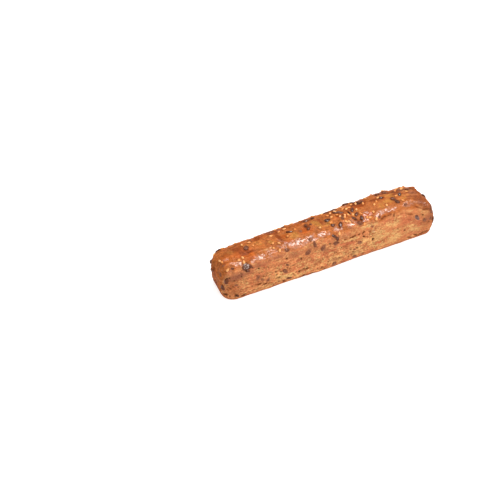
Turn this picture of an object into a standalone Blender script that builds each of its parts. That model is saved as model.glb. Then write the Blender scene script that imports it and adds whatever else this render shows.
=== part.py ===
"""A whole wheat bread stick with seeds on its crust, as one closed solid.

The stick lies along X on its flat base, with the base at Z = 0, -X at its narrower end and -Y at the side
that is seen. A place on the crust is given as (along, across): along is the distance over the skin from the
middle of the -X end, and across is the distance round the section from the middle line of the top, positive
towards -Y. Sizes and places are in millimetres, and the finished mesh is in metres.
"""

import bmesh
import bpy
import numpy as np
from mathutils import Matrix

MM = 0.001

# Driving sizes of the stick
LENGTH = 191.0
WIDTH = 37.5
HEIGHT = 28.5
END_ROUND = 11.8
SHOULDER_ROUND = 9.6
BASE_ROUND = 2.0
CROWN = 1.5
SIDE_BULGE = 0.8
WIDER_AT_FAR_END = 0.06
HIGHER_AT_FAR_END = 0.015
NEAR_END_SKEW = 0.20
FAR_END_SKEW = -0.12
NEAR_END_LEAN = -2.7
END_REACH = 25.0
NEAR_END_FLARE = 0.6
FLARE_REACH = 10.0
END_MIDDLE_HEIGHT = 0.35 * HEIGHT

# Lengths along the skin, which follow from the sizes
QUARTER = np.pi / 2
FACE = WIDTH / 2 - END_ROUND
ALONG = LENGTH - 2 * END_ROUND + 2 * (FACE + QUARTER * END_ROUND)
FLAT_BASE = WIDTH / 2 - BASE_ROUND
WALL = HEIGHT - BASE_ROUND - SHOULDER_ROUND
FLAT_TOP = WIDTH / 2 - SHOULDER_ROUND
HALF_ROUND = FLAT_BASE + QUARTER * BASE_ROUND + WALL + QUARTER * SHOULDER_ROUND + FLAT_TOP
WALL_FROM = FLAT_TOP + QUARTER * SHOULDER_ROUND
BASE_EDGE = HALF_ROUND - FLAT_BASE

# Relief of the crust
LUMPS = 0.45
LUMP_SIZE = 15.0
SMALL_LUMPS = 0.25
SMALL_LUMP_SIZE = 7.0
LAYER_PITCH = 5.6
LAYER_DEPTH = 0.4
LAYER_DRIFT = 2.5
LAYER_DRIFT_SIZE = (45.0, 90.0, 90.0)
LAYER_PATCH = (22.0, 60.0, 60.0)
LAYER_SLOPE = 1.6
BASE_FADE = 3.0
CAP_POWER = 1.5
SLOPE_STEP = 0.2

# Blisters and folds: place along, place across, reach along, reach across, rise
SWELLINGS = (
    (103.0, 0.0, 7.0, 9.0, 0.9),
    (84.0, 2.0, 9.0, 7.0, 0.7),
    (33.0, -1.0, 11.0, 9.0, 0.6),
    (60.0, -6.0, 8.0, 7.0, 0.5),
    (122.0, 4.0, 8.0, 7.0, 0.5),
    (156.0, -3.0, 12.0, 8.0, 0.7),
    (177.0, 22.0, 11.0, 7.0, 0.9),
    (203.0, 31.0, 8.0, 9.0, 0.8),
    (168.0, -14.0, 14.0, 8.0, 1.1),
    (190.0, -12.0, 14.0, 8.0, -0.9),
    (12.0, -9.0, 8.0, 8.0, 1.3),
    (201.4, -7.5, 4.5, 5.0, 2.0),
    (201.8, -8.6, 1.6, 1.6, 0.9),
    (203.2, -1.0, 4.2, 6.0, 1.3),
    (205.0, 12.0, 5.0, 6.0, -1.2),
    (139.0, -13.0, 7.0, 5.0, 1.3),
    (178.0, -13.0, 5.0, 4.0, 0.9),
    (50.0, -30.0, 14.0, 6.0, 0.8),
    (140.0, -28.0, 16.0, 6.0, 0.8),
    (17.0, 42.0, 8.0, 6.0, -1.2),
    (104.0, 41.0, 32.0, 9.0, 1.0),
)

# Steps of the grid
FACE_STEPS = 2
END_STEPS = 6
BODY_STEPS = 38
TOP_STEPS = 3
SHOULDER_STEPS = 6
WALL_STEPS = 9
BASE_ROUND_STEPS = 2
BASE_STEPS = 2

# Seeds. A kind's seen places are along, across and turn in degrees from the stick's length
SEED_SIDES = 6
SEED_RINGS = 4
SUNK_ON_WALLS = 0.35
CROWD_AT_TOP = 1.5
DRAW = 7
LINSEED = {
    "name": "linseed",
    "size": (5.8, 3.0, 1.4),
    "taper": 0.35,
    "lift": 0.15,
    "colour": (0.075, 0.027, 0.012),
    "roughness": 0.25,
    "unseen": 16,
    "unseen_from": 18.0,
    "down_the_back": 22.0,
    "seen": (
        (42, -2, 20), (35, 15, 90), (37, 18, 60), (34, 19, 0), (23, 14, 20), (16, 21, 90), (12, 30, 80),
        (8, -10, 90), (13, -12, 90), (22, -13, 60), (15, 40, 0), (25, 40, 0), (81, -3, 26), (68, 14, 50),
        (83, 19, 30), (86, 21, -20), (91, 17, 100), (92, 11, 80), (97, -4, 45), (96, 1, 30), (65, 30, 0),
        (66, 25, 40), (41, 27, 100), (50, 33, 60), (68, 38, 0), (99, 21, -36), (111, 21, 0), (110, 16, 60),
        (113, 18, 45), (115, -2, 25), (116, 6, 30), (121, 9, -33), (126, 3, 75), (128, -5, 20), (125, -11, 10),
        (134, -1, 60), (140, -5, 110), (139, 1, 100), (134, 7, 50), (141, 8, 70), (137, 13, 40), (169, -10, 10),
        (170, -5, 5), (175, -9, 10), (184, -3, 40), (176, 1, 35), (177, 5, 60), (180, 12, 80), (203, 8, 0),
        (183, 22, 48), (197, 17, 90), (200, 31, 90), (129, 39, 20), (108, 38, -20), (127, 33, 30), (132, 27, 0),
    ),
}
SESAME = {
    "name": "sesame",
    "size": (3.1, 1.9, 1.1),
    "taper": 0.5,
    "lift": 0.15,
    "colour": (0.86, 0.62, 0.33),
    "roughness": 0.4,
    "unseen": 8,
    "unseen_from": 12.0,
    "down_the_back": 10.0,
    "seen": (
        (26, -13, 0), (48, -2, 80), (41, -8, 10), (34, 8, 40), (32, 13, 30), (18, 0, 80), (20, 14, -30),
        (56, -12, 20), (65, -5, 20), (74, -12, 0), (73, -8, 20), (67, 6, 30), (60, 8, 60), (62, 13, 90),
        (78, 0, 60), (86, -5, 40), (104, 3, 80), (109, -13, 10), (121, -8, 60), (119, -2, 20), (127, -8, 20),
        (125, -1, 60), (134, -11, 20), (133, -6, 10), (130, -2, 60), (132, 1, 70), (138, -8, 10), (142, -12, 20),
        (145, -9, 20), (150, -7, 70), (142, -2, 60), (136, 1, 40), (127, 8, 80), (125, 7, 70), (115, 15, 90),
        (162, -3, 70), (157, -1, 40), (166, 5, 60), (166, -9, 20), (153, 6, 80), (150, 16, 80), (144, 10, 40),
        (181, 5, 30), (180, -4, 30), (190, -3, 0), (184, -10, 10), (189, -10, 10), (193, -8, 0), (176, -13, 0),
    ),
}
SEEDS = (LINSEED, SESAME)

# Finish
CRUST_COLOUR = (0.46, 0.19, 0.07)
CRUST_ROUGHNESS = 0.45
MERGE = 0.02
SHARP = np.radians(50)


def section(across):
    """Half width and height of the section: flat top, round shoulder, upright wall, small round and flat base."""
    left = HALF_ROUND - np.abs(across)
    base = np.minimum(left, FLAT_BASE)
    low = np.clip((left - FLAT_BASE) / BASE_ROUND, 0, QUARTER)
    left = left - FLAT_BASE - QUARTER * BASE_ROUND
    wall = np.clip(left, 0, WALL)
    shoulder = np.clip((left - WALL) / SHOULDER_ROUND, 0, QUARTER)
    top = np.maximum(left - WALL - QUARTER * SHOULDER_ROUND, 0)
    wide = base + BASE_ROUND * np.sin(low) - SHOULDER_ROUND * (1 - np.cos(shoulder)) - top
    high = BASE_ROUND * (1 - np.cos(low)) + wall + SHOULDER_ROUND * np.sin(shoulder)
    high = high + CROWN * (1 - (2 * wide / WIDTH) ** 2) * (high / HEIGHT) ** 3
    wide = wide + SIDE_BULGE * np.sin(np.pi * np.clip(high / HEIGHT, 0, 1)) * (low > 0)
    return wide, high


def smooth_skin(along, across):
    """Points of the stick without its relief: the section is carried along X and drawn in round each end."""
    near = np.minimum(along, ALONG - along)
    turn = np.clip((near - FACE) / END_ROUND, 0, QUARTER)
    size = (np.minimum(near, FACE) + END_ROUND * np.sin(turn)) / (WIDTH / 2)
    inward = END_ROUND * (1 - np.cos(turn)) + np.maximum(near - FACE - QUARTER * END_ROUND, 0)
    x = np.where(along < ALONG / 2, inward, LENGTH - inward) - LENGTH / 2
    wide, high = section(across)
    taper = np.clip(x / (LENGTH / 2), -1, 1)
    y = -np.sign(across) * wide * size * (1 + WIDER_AT_FAR_END * taper)
    z = END_MIDDLE_HEIGHT + size * (high - END_MIDDLE_HEIGHT)
    z = z * (1 + HIGHER_AT_FAR_END * taper)
    at_near = np.exp(-(((x + LENGTH / 2) / END_REACH) ** 2))
    at_far = np.exp(-(((x - LENGTH / 2) / END_REACH) ** 2))
    foot = np.clip(1 - z / FLARE_REACH, 0, 1) ** 2 * np.exp(-(((x + LENGTH / 2) / FLARE_REACH) ** 2))
    x = x - NEAR_END_FLARE * foot
    x = x + y * (NEAR_END_SKEW * at_near + FAR_END_SKEW * at_far)
    x = x + NEAR_END_LEAN * (z / HEIGHT - 0.5) * at_near
    return np.stack([x, y, z], -1)


def lattice(cells, seed):
    """A repeatable number from -1 to 1 for every whole-numbered lattice point."""
    mixed = cells.astype(np.int64) @ np.array([73856093, 19349663, 83492791]) + seed * 51407
    mixed = ((mixed ^ (mixed >> 13)) * 1274126177) & 0x7FFFFFFF
    mixed = ((mixed ^ (mixed >> 15)) * 668265263) & 0x7FFFFFFF
    return mixed / 0x3FFFFFFF - 1


def noise(points, cell, seed):
    """Smooth random field from -1 to 1: lattice numbers blended between the eight corners of each cell."""
    scaled = points / np.asarray(cell)
    low = np.floor(scaled)
    part = scaled - low
    part = part * part * (3 - 2 * part)
    total = np.zeros(points.shape[:-1])
    for corner in np.ndindex(2, 2, 2):
        weight = np.prod(np.where(corner, part, 1 - part), axis=-1)
        total += weight * lattice(low + corner, seed)
    return total


def unit(vectors):
    """Vectors scaled to length 1."""
    return vectors / np.linalg.norm(vectors, axis=-1, keepdims=True)


def directions(along, across):
    """Unit vectors along the smooth skin and straight out of it, from its slopes over a short step each way."""
    along = np.clip(along, 2 * SLOPE_STEP, ALONG - 2 * SLOPE_STEP)
    ahead = smooth_skin(along + SLOPE_STEP, across) - smooth_skin(along - SLOPE_STEP, across)
    round_it = smooth_skin(along, across + SLOPE_STEP) - smooth_skin(along, across - SLOPE_STEP)
    out = unit(np.cross(round_it, ahead))
    return unit(ahead), out


def swellings(along, across):
    """Height of the blisters, the end fold and the corner peak: each a smooth cap over an oval of the skin."""
    height = np.zeros_like(along)
    for at_along, at_across, reach_along, reach_across, rise in SWELLINGS:
        far = ((along - at_along) / reach_along) ** 2 + ((across - at_across) / reach_across) ** 2
        height = height + rise * np.clip(1 - far, 0, 1) ** CAP_POWER
    return height


def layers(points, out):
    """Ledges of the rolled dough where the skin is steep: waves up the wall that drift along the stick."""
    drift = LAYER_DRIFT * noise(points, LAYER_DRIFT_SIZE, 5)
    wave = np.sin(2 * np.pi * (points[..., 2] + drift) / LAYER_PITCH)
    steep = np.clip(1 - LAYER_SLOPE * np.abs(out[..., 2]), 0, 1)
    strength = 0.6 + 0.4 * noise(points, LAYER_PATCH, 6)
    return LAYER_DEPTH * wave * steep * strength


def skin(along, across):
    """Points of the crust: the smooth skin moved out along its normal by lumps, swellings and ledges."""
    points = smooth_skin(along, across)
    _, out = directions(along, across)
    height = LUMPS * noise(points, LUMP_SIZE, 1) + SMALL_LUMPS * noise(points, SMALL_LUMP_SIZE, 2)
    height = height + swellings(along, across) + layers(points, out)
    above_base = np.clip((BASE_EDGE - np.abs(across)) / BASE_FADE, 0, 1)
    return points + out * (height * above_base)[..., None]


def steps(*stretches):
    """Positions from 0 on: each stretch is a length and the number of equal steps in it."""
    ends = np.cumsum([0.0] + [length for length, _ in stretches])
    runs = [np.linspace(ends[i], ends[i + 1], count, endpoint=False) for i, (_, count) in enumerate(stretches)]
    return np.concatenate(runs)


def body_mesh():
    """Closed grid of the crust: rings of points round the section, and one point at the middle of each end."""
    end = ((FACE, FACE_STEPS), (QUARTER * END_ROUND, END_STEPS))
    along = steps(*end, (LENGTH - 2 * END_ROUND, BODY_STEPS), *end[::-1])[1:]
    half = steps(
        (FLAT_TOP, TOP_STEPS),
        (QUARTER * SHOULDER_ROUND, SHOULDER_STEPS),
        (WALL, WALL_STEPS),
        (QUARTER * BASE_ROUND, BASE_ROUND_STEPS),
        (FLAT_BASE, BASE_STEPS),
    )
    across = np.concatenate([half, [HALF_ROUND], -half[:0:-1]])
    rings = skin(*np.meshgrid(along, across, indexing="ij")).reshape(-1, 3)
    poles = skin(np.array([0.0, ALONG]), np.zeros(2))
    points = np.concatenate([rings, poles])
    turns = len(across)
    near_pole, far_pole = len(rings), len(rings) + 1
    last = near_pole - turns
    faces = []
    for i in range(turns):
        j = (i + 1) % turns
        faces.append((near_pole, i, j))
        faces.append((far_pole, last + j, last + i))
        for first in range(0, last, turns):
            faces.append((first + i, first + turns + i, first + turns + j, first + j))
    mesh = bpy.data.meshes.new("breadstick")
    mesh.from_pydata((points * MM).tolist(), [], faces)
    return mesh


def seed_mesh(kind):
    """A seed lying along X: a flattened ball with few sides, drawn to a blunt point at its +X end."""
    length, width, thickness = kind["size"]
    ball = bmesh.new()
    turned = Matrix.Rotation(QUARTER, 4, "Y")
    bmesh.ops.create_uvsphere(ball, u_segments=SEED_SIDES, v_segments=SEED_RINGS, radius=0.5, matrix=turned)
    for vertex in ball.verts:
        slim = 1 - kind["taper"] * vertex.co.x
        vertex.co = (vertex.co.x * length, vertex.co.y * width * slim, vertex.co.z * thickness * slim)
    bmesh.ops.scale(ball, vec=(MM, MM, MM), verts=ball.verts)
    mesh = bpy.data.meshes.new(kind["name"])
    ball.to_mesh(mesh)
    ball.free()
    mesh.materials.append(material(kind["name"], kind["colour"], kind["roughness"]))
    return mesh


def place_seed(mesh, along, across, turn, lift):
    """A seed lying on the crust at a place, turned from the stick's length towards growing across."""
    place = np.array([along]), np.array([across])
    ahead, out = (found[0] for found in directions(*place))
    forward = np.cos(turn) * ahead + np.sin(turn) * np.cross(ahead, out)
    axes = Matrix([forward, np.cross(out, forward), out]).transposed().to_4x4()
    axes.translation = (skin(*place)[0] + out * lift) * MM
    seed = bpy.data.objects.new(mesh.name, mesh)
    seed.matrix_world = axes
    return seed


def seed_places(kind, chance):
    """Places of one kind: those chosen by hand on the seen side, then more drawn where none were chosen."""
    places = [(along, across, np.radians(turn)) for along, across, turn in kind["seen"]]
    wanted = len(places) + kind["unseen"]
    while len(places) < wanted:
        along = chance.uniform(END_ROUND, ALONG - END_ROUND)
        across = -kind["unseen_from"] - kind["down_the_back"] * chance.random() ** CROWD_AT_TOP
        gaps = [np.hypot(along - a, across - b) for a, b, _ in places]
        if min(gaps) > kind["size"][0]:
            places.append((along, across, chance.uniform(0, np.pi)))
    return places


def scatter_seeds(kind, chance):
    """All seeds of a kind as objects; those on the walls are sunk deeper, as the dough was rolled over them."""
    mesh = seed_mesh(kind)
    seeds = []
    for along, across, turn in seed_places(kind, chance):
        sunk = np.clip((abs(across) - FLAT_TOP) / (WALL_FROM - FLAT_TOP), 0, 1)
        lift = kind["lift"] * (1 - sunk) - SUNK_ON_WALLS * sunk
        seeds.append(place_seed(mesh, along, across, turn, lift))
    return seeds


def material(name, colour, roughness):
    """Principled material with a plain colour."""
    made = bpy.data.materials.new(name)
    made.use_nodes = True
    shader = made.node_tree.nodes["Principled BSDF"]
    shader.inputs["Base Color"].default_value = (*colour, 1)
    shader.inputs["Roughness"].default_value = roughness
    return made


def fuse(stick, seeds):
    """One Boolean union of the stick with all seeds, applied, after which the seeds' objects are removed."""
    together = bpy.data.collections.new("seeds")
    bpy.context.scene.collection.children.link(together)
    for seed in seeds:
        together.objects.link(seed)
    union = stick.modifiers.new("seeds", "BOOLEAN")
    union.operation = "UNION"
    union.solver = "EXACT"
    union.material_mode = "TRANSFER"
    union.operand_type = "COLLECTION"
    union.collection = together
    bpy.context.view_layer.update()
    evaluated = stick.evaluated_get(bpy.context.evaluated_depsgraph_get())
    fused = bpy.data.meshes.new_from_object(evaluated)
    stick.modifiers.remove(union)
    stick.data = fused
    for seed in seeds:
        bpy.data.objects.remove(seed)
    bpy.data.collections.remove(together)


def tidy_solid(mesh):
    """Keeps the outer shell alone, in triangles, with its box centred over the origin and its base at Z = 0."""
    solid = bmesh.new()
    solid.from_mesh(mesh)
    bmesh.ops.remove_doubles(solid, verts=solid.verts, dist=MERGE * MM)
    bmesh.ops.triangulate(solid, faces=solid.faces)
    unseen = set(solid.verts)
    shells = []
    while unseen:
        waiting = [unseen.pop()]
        shell = []
        while waiting:
            vertex = waiting.pop()
            shell.append(vertex)
            fresh = {edge.other_vert(vertex) for edge in vertex.link_edges} & unseen
            unseen -= fresh
            waiting.extend(fresh)
        shells.append(shell)
    shells.sort(key=len)
    scraps = [vertex for shell in shells[:-1] for vertex in shell]
    bmesh.ops.delete(solid, geom=scraps, context="VERTS")
    corners = np.array([vertex.co for vertex in solid.verts])
    low, high = corners.min(0), corners.max(0)
    middle = (low + high) / 2
    bmesh.ops.translate(solid, vec=(-middle[0], -middle[1], -low[2]), verts=solid.verts)
    solid.to_mesh(mesh)
    solid.free()
    mesh.shade_smooth()
    mesh.set_sharp_from_angle(angle=SHARP)


def build():
    """Empties the scene and makes the bread stick."""
    for old in list(bpy.data.objects):
        bpy.data.objects.remove(old)
    mesh = body_mesh()
    mesh.materials.append(material("crust", CRUST_COLOUR, CRUST_ROUGHNESS))
    stick = bpy.data.objects.new("breadstick", mesh)
    bpy.context.scene.collection.objects.link(stick)
    chance = np.random.default_rng(DRAW)
    seeds = [seed for kind in SEEDS for seed in scatter_seeds(kind, chance)]
    fuse(stick, seeds)
    tidy_solid(stick.data)


build()
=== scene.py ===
"""The looks of a seeded whole wheat bread stick, built round its packed solid.

The crust, the linseeds and the sesame seeds are surfaces worked out from formulas over two numbers. A place
on the crust is (along, across) in millimetres: along is the distance over the skin from the middle of the
-X end, and across is the distance round the section from the middle line of the top, positive towards -Y,
the side that faces the camera. Finished meshes are in metres, in the frame of the packed solid.
"""

import math

import bpy
import numpy as np
from bpy.props import FloatProperty, FloatVectorProperty, IntProperty, PointerProperty
from mathutils import Matrix, Vector


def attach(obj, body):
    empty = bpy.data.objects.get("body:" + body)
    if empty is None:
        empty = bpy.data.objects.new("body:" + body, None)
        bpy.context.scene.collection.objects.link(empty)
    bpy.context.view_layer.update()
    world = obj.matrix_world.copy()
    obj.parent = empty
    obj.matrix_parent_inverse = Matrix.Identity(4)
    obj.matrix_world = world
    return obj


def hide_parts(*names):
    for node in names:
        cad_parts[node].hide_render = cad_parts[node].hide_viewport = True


bl_info = {
    "name": "Seeded bread stick",
    "version": (1, 0, 0),
    "blender": (4, 5, 0),
    "location": "3D View > Sidebar > Bread stick",
    "description": "Bakes a seeded bread stick's crust, lays its seeds and sets a plain studio round it",
    "category": "Mesh",
}

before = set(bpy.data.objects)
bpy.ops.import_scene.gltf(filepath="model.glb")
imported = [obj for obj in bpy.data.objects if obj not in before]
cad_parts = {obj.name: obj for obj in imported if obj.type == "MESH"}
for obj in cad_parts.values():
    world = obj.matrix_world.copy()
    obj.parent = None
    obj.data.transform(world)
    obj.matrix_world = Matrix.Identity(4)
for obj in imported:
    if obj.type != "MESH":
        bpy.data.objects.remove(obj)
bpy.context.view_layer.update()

MM = 0.001
QUARTER = math.pi / 2
BODY = "root"
NODE = "breadstick"

# The middle of the stick's own box, which the packed solid has over its origin
BOX_MIDDLE = (0.03, -0.18, 0.0)

# Form of the stick's ends, as parts of its size or in millimetres
WIDER_AT_FAR_END = 0.06
HIGHER_AT_FAR_END = 0.015
NEAR_END_SKEW = 0.20
FAR_END_SKEW = -0.12
NEAR_END_LEAN = -2.7
END_REACH = 25.0
END_MIDDLE = 0.35
NEAR_END_FLARE = 0.6
FLARE_REACH = 10.0
CORNER_FLARE = 2.2
CORNER_DRAWN_IN = 0.2
CORNER_PLACE = 2.5
CORNER_REACH = 6.0
SLOPE_STEP = 0.2

# Relief that the packed solid has too
LUMPS = 0.45
SMALL_LUMPS = 0.25
LAYER_PITCH = 5.6
LAYER_DEPTH = 0.4
LAYER_DRIFT = 2.5
LAYER_SLOPE = 1.6
LAYER_STRENGTH = (0.6, 0.4)
BASE_FADE = 3.0
CAP_POWER = 1.5

# Finer relief: heights in millimetres
PUCKERS = 0.24
BEADS = 0.10
WRINKLES = 0.60
CREASE_LEVEL = 0.3
STRANDS = 0.25
FINE_STRANDS = 0.24
THIN_LAYER_PITCH = 2.3
THIN_LAYER_DEPTH = 0.12
THIN_LAYER_DRIFT = 1.6
THIN_LAYER_EDGE = 0.6
THIN_LAYER_FIELDS = (-0.5, 0.5)

# Random fields of the crust: size of the grains in millimetres, and a number that makes each its own
NOISES = {
    "lumps": (15.0, 1),
    "small lumps": (7.0, 2),
    "layer drift": ((45.0, 90.0, 90.0), 5),
    "layer fields": ((22.0, 60.0, 60.0), 6),
    "puckers": ((4.5, 3.2, 3.2), 11),
    "wrinkles": ((3.2, 2.2, 2.2), 12),
    "strands": ((4.2, 2.1, 1.6), 13),
    "fine strands": ((1.4, 1.1, 0.9), 14),
    "bend": (3.5, 15),
    "fine bend": (1.3, 16),
    "beads": ((1.6, 1.3, 1.3), 17),
    "thin layer drift": ((26.0, 30.0, 30.0), 21),
    "thin layer fields": ((14.0, 8.0, 4.0), 22),
    "patchy": ((9.0, 6.0, 6.0), 31),
    "glaze edge": ((11.0, 7.0, 7.0), 32),
    "frayed edge": (3.0, 33),
    "pale bands": ((12.0, 6.0, 2.5), 34),
    "ruddy bands": ((9.0, 5.0, 2.0), 35),
    "flecks": ((1.6, 0.9, 0.8), 41),
    "fleck fields": ((5.0, 3.0, 3.0), 42),
}

# Large odd numbers that scatter the lattice of those fields, and the bits that they keep
SCATTER_CELLS = (73856093, 19349663, 83492791)
SCATTER_FIELDS = 51407
SCATTER_AGAIN = ((13, 1274126177), (15, 668265263))
KEPT_BITS = 0x7FFFFFFF

# Folds that run together towards the far top corner
FOLD_CORNER = (207.0, -6.0)
FOLDS = 26.0
FOLD_DEPTH = 0.07
FOLD_SWAY = 2.0
FOLD_SWAYS = 3.0
FOLD_SWAY_ALONG = 0.15
FOLDS_START = (2.0, 7.0)
FOLDS_END = 40.0
FOLDS_END_FADE = 18.0
FOLDS_HALF_WIDTH = 16.0
FOLDS_SIDE_FADE = 5.0

# Where along the stick the crust grows calmer, and how much its relief loses by that
CALM = (140.0, 168.0)
CALM_RELIEF = 0.3

# Where the skin counts as steep, by 1 less the size of its normal's upward part, and where it counts as
# an end, by its share of the way from the middle
STEEP = (0.25, 0.8)
END_SHARE = (0.80, 0.97)

# Edge of the glaze: distance from the top's middle line, its waver, and its reach over the ends
GLAZE_EDGE = 16.0
GLAZE_WAVER = 1.8
GLAZE_FRAY = 0.9
GLAZE_SOFTNESS = (-1.3, 1.6)
GLAZE_OVER_ENDS = 10.0
GLAZE_OVER_NEAR_END = 40.0
NEAR_END_RUN = 14.0
DULL_AT_FAR_END = (184.0, 196.0)
DULL_SHARE = 0.45

# Gloss of thin glaze, of its thick patches and of its gleams, and how much of the cuts' bend gleams have
THIN_GLOSS = 0.02
THICK_GLOSS = 0.5
GLINT_GLOSS = 0.9
GLINT_BEND = 0.5

# Features further round than this come again on the unseen wall
REPEATED_FROM = 12.0

# Cuts and ridges: how their lines bend, and how they fade at their ends
BEND = 0.5
FINE_BEND = 0.25
CUT_FADE = (-1.0, 1.5)

# Pores: those drawn at random, then the form of all
DRAWN_PORES = 170
PORES_FROM_END = 14.0
PORES_ACROSS = (19.0, 40.0)
CROWD_AT_NEAR_END = 1.5
PORE_SIZE = 0.3
PORE_SIZE_MORE = 0.4
PORE_LENGTH = (1.0, 1.6)
PORE_DEPTH = 0.2
PORE_SPREAD = 1.25
PORE_POWER = 0.8
DEEPEST_PORE = 1.3

# Painted shade in the hollows: how dark it makes cuts, pores and drawn flecks, and the low strip of the
# wall with more flecks
SHALLOW_CUT = 0.35
HOLLOW_BY_CUT = 2.0
HOLLOW_BY_PORE = 2.3
HOLLOW_BY_FLECK = 1.9
FLECK_FROM = 0.24
LOW_WALL = 36.0
LOW_WALL_REACH = 3.0

# Beds of the seeds, the rings of painted shade round them and the stains of veiled ones, by seed radii
BED_RISE = 0.28
BED_REACH = 1.5
BED_SMOOTHS = 0.85
VEILED_BED = 0.5
SESAME_BED = 0.7
RING_AT = 1.1
RING_WIDTH = 0.3
LINSEED_RING_SHADE = 0.6
STAIN_REACH = 0.95
STAIN_BY_VEIL = 1.8

# Darker band low on the walls, partly a baked rim and partly painted contact shade: from and to, in
# millimetres above the base's edge
RIM = (4.5, 2.5)

# How much each part of the relief adds to a tint: in the browning, cuts and the rings round seeds are
# painted shade, the rim is partly painted contact shade, and ridges make the crust lighter
TINTED_BY = {
    "browner": {"patchy": 0.25, "rings": 0.45, "folds": -0.1, "rim": 0.6, "cut": 1.5, "ridge": -0.5},
    "golden": {"ridge": 1.2},
    "pale": {"pale bands": 0.35, "ridge": 1.0},
    "ruddy": {"ruddy bands": 0.30},
}

# Fine relief painted into the crust's tone as light and shade: the height that counts as full, and the
# share of the folds
FULL_SHADED_RELIEF = 0.3
FOLDS_IN_SHADE = 0.3

# Blisters and folds: place along, place across, reach along, reach across, rise
SWELLINGS = (
    (103, 0, 7, 9, 0.9), (84, 2, 9, 7, 0.7), (33, -1, 11, 9, 0.6), (60, -6, 8, 7, 0.5), (122, 4, 8, 7, 0.5),
    (156, -3, 12, 8, 0.7), (177, 22, 11, 7, 0.9), (203, 31, 8, 9, 0.8), (168, -14, 14, 8, 1.1),
    (190, -12, 14, 8, -0.9), (12, -9, 8, 8, 1.3), (201.4, -7.5, 4.5, 5, 2), (201.8, -8.6, 1.6, 1.6, 0.9),
    (203.2, -1, 4.2, 6, 1.3), (205, 12, 5, 6, -1.2), (139, -13, 7, 5, 1.3), (178, -13, 5, 4, 0.9),
    (50, -30, 14, 6, 0.8), (140, -28, 16, 6, 0.8), (17, 42, 8, 6, -1.2), (104, 41, 32, 9, 1),
)

# Cuts in the crust: from along and across, to along and across, width, depth
SLITS = (
    (117.5, 21.4, 122, 21, 0.5, 0.65), (122.5, 21.2, 129.5, 20.6, 0.5, 0.75),
    (130.5, 21, 133.5, 20.4, 0.6, 0.9), (134.5, 21, 138, 20.1, 0.6, 0.9),
    (141, 21.4, 143.8, 21.1, 0.6, 0.6), (146.5, 20.6, 149, 20, 0.5, 0.5),
    (151, 21.6, 153.5, 21.3, 0.4, 0.35), (134.8, 23, 137.5, 24.4, 0.6, 0.7),
    (137.5, 25.2, 140.5, 24.7, 0.6, 0.6), (70.5, 36, 76, 34.9, 0.5, 0.4), (76, 34.9, 87, 35.3, 0.6, 0.55),
    (89, 35.6, 96, 35.2, 0.4, 0.25), (41, 34.7, 44.5, 35.1, 0.6, 1), (45.5, 36.2, 49.5, 36.8, 0.6, 1),
    (13, 41, 17.5, 36.8, 1.1, 0.9), (23, 37.2, 26, 39.6, 0.7, 0.9), (27, 40, 32, 41, 0.6, 0.8),
    (63, 40.2, 66, 41.6, 0.7, 0.9), (80.5, 40.2, 83.5, 42, 0.8, 0.9), (86.5, 40.6, 90.5, 42, 0.8, 0.9),
    (96.5, 39.4, 99, 38.8, 0.6, 0.8), (109.5, 31.4, 116, 32, 0.4, 0.25),
    (113.5, 36.3, 119.5, 35.4, 0.5, 0.25), (121, 36.4, 133, 36, 0.6, 0.25),
    (170.6, 16.6, 175, 16.7, 0.6, 0.5), (175, 16.8, 181.2, 19.5, 0.7, 0.55),
    (170.6, 16.5, 168.1, 17.6, 0.6, 0.6), (168.1, 17.6, 165.6, 20.6, 0.6, 0.6),
    (154, 15.4, 160.5, 14.2, 0.8, 0.5), (160.5, 14.2, 165.4, 14.6, 0.8, 0.55),
    (165.4, 17.2, 167.6, 14.2, 0.6, 0.8), (178, -1.5, 186, 2.4, 0.6, 0.3), (186, 2.4, 196, 7.4, 0.7, 0.5),
    (186.5, 4.6, 195, 8.9, 0.5, 0.4), (179, -4.6, 190, -1, 0.6, 0.4), (190, -1, 200.5, 3.6, 0.6, 0.5),
    (186, -6.8, 199, -3.8, 0.6, 0.5), (176, -8, 186, -6.8, 0.6, 0.35), (192, 1.8, 201, 6.2, 0.5, 0.45),
    (190, 9.4, 199, 13, 0.6, 0.45), (190.3, 18.1, 198, 20.2, 0.8, 0.65), (188, 12.8, 196, 16, 0.5, 0.35),
    (196, -6.5, 201, -5, 0.5, 0.45), (176.5, 39.3, 181, 41, 0.5, 0.75), (182.5, 38.6, 187, 40.4, 0.5, 0.8),
    (194, 38.9, 197, 39.6, 0.6, 0.5), (176.8, 25, 180.5, 25.8, 0.4, 0.4),
    (93.2, 26.5, 93.7, 29.5, 0.35, 0.35), (131.5, 30.5, 132.8, 32, 0.4, 0.35),
    (135.5, 29.8, 136, 31.6, 0.35, 0.35), (142, 30.6, 142.4, 32.5, 0.35, 0.3),
    (39, 17.7, 76, 16.3, 0.8, 0.15), (185.5, 14.4, 190.3, 18.1, 0.6, 0.45),
    (185.7, 4.2, 189.7, 9.3, 0.7, 0.45), (186.8, 40, 196.5, 40, 0.6, 0.7), (31.5, 34, 34.5, 34.6, 0.4, 0.9),
    (38.5, 33.6, 41, 34, 0.4, 0.9), (50.5, 37.2, 54, 37.6, 0.5, 0.8), (35, 38.8, 38.5, 39.4, 0.5, 0.5),
    (56, 38.9, 59, 39.2, 0.4, 0.45), (24, -8.5, 62, -12, 1.1, 0.2), (62, -11, 108, -10, 1.1, 0.2),
    (110.5, -9, 107.5, 6.5, 0.5, 0.22), (71.5, -8, 70, 5, 0.5, 0.12), (91, -6, 89.5, 3, 0.4, 0.12),
)

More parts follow.
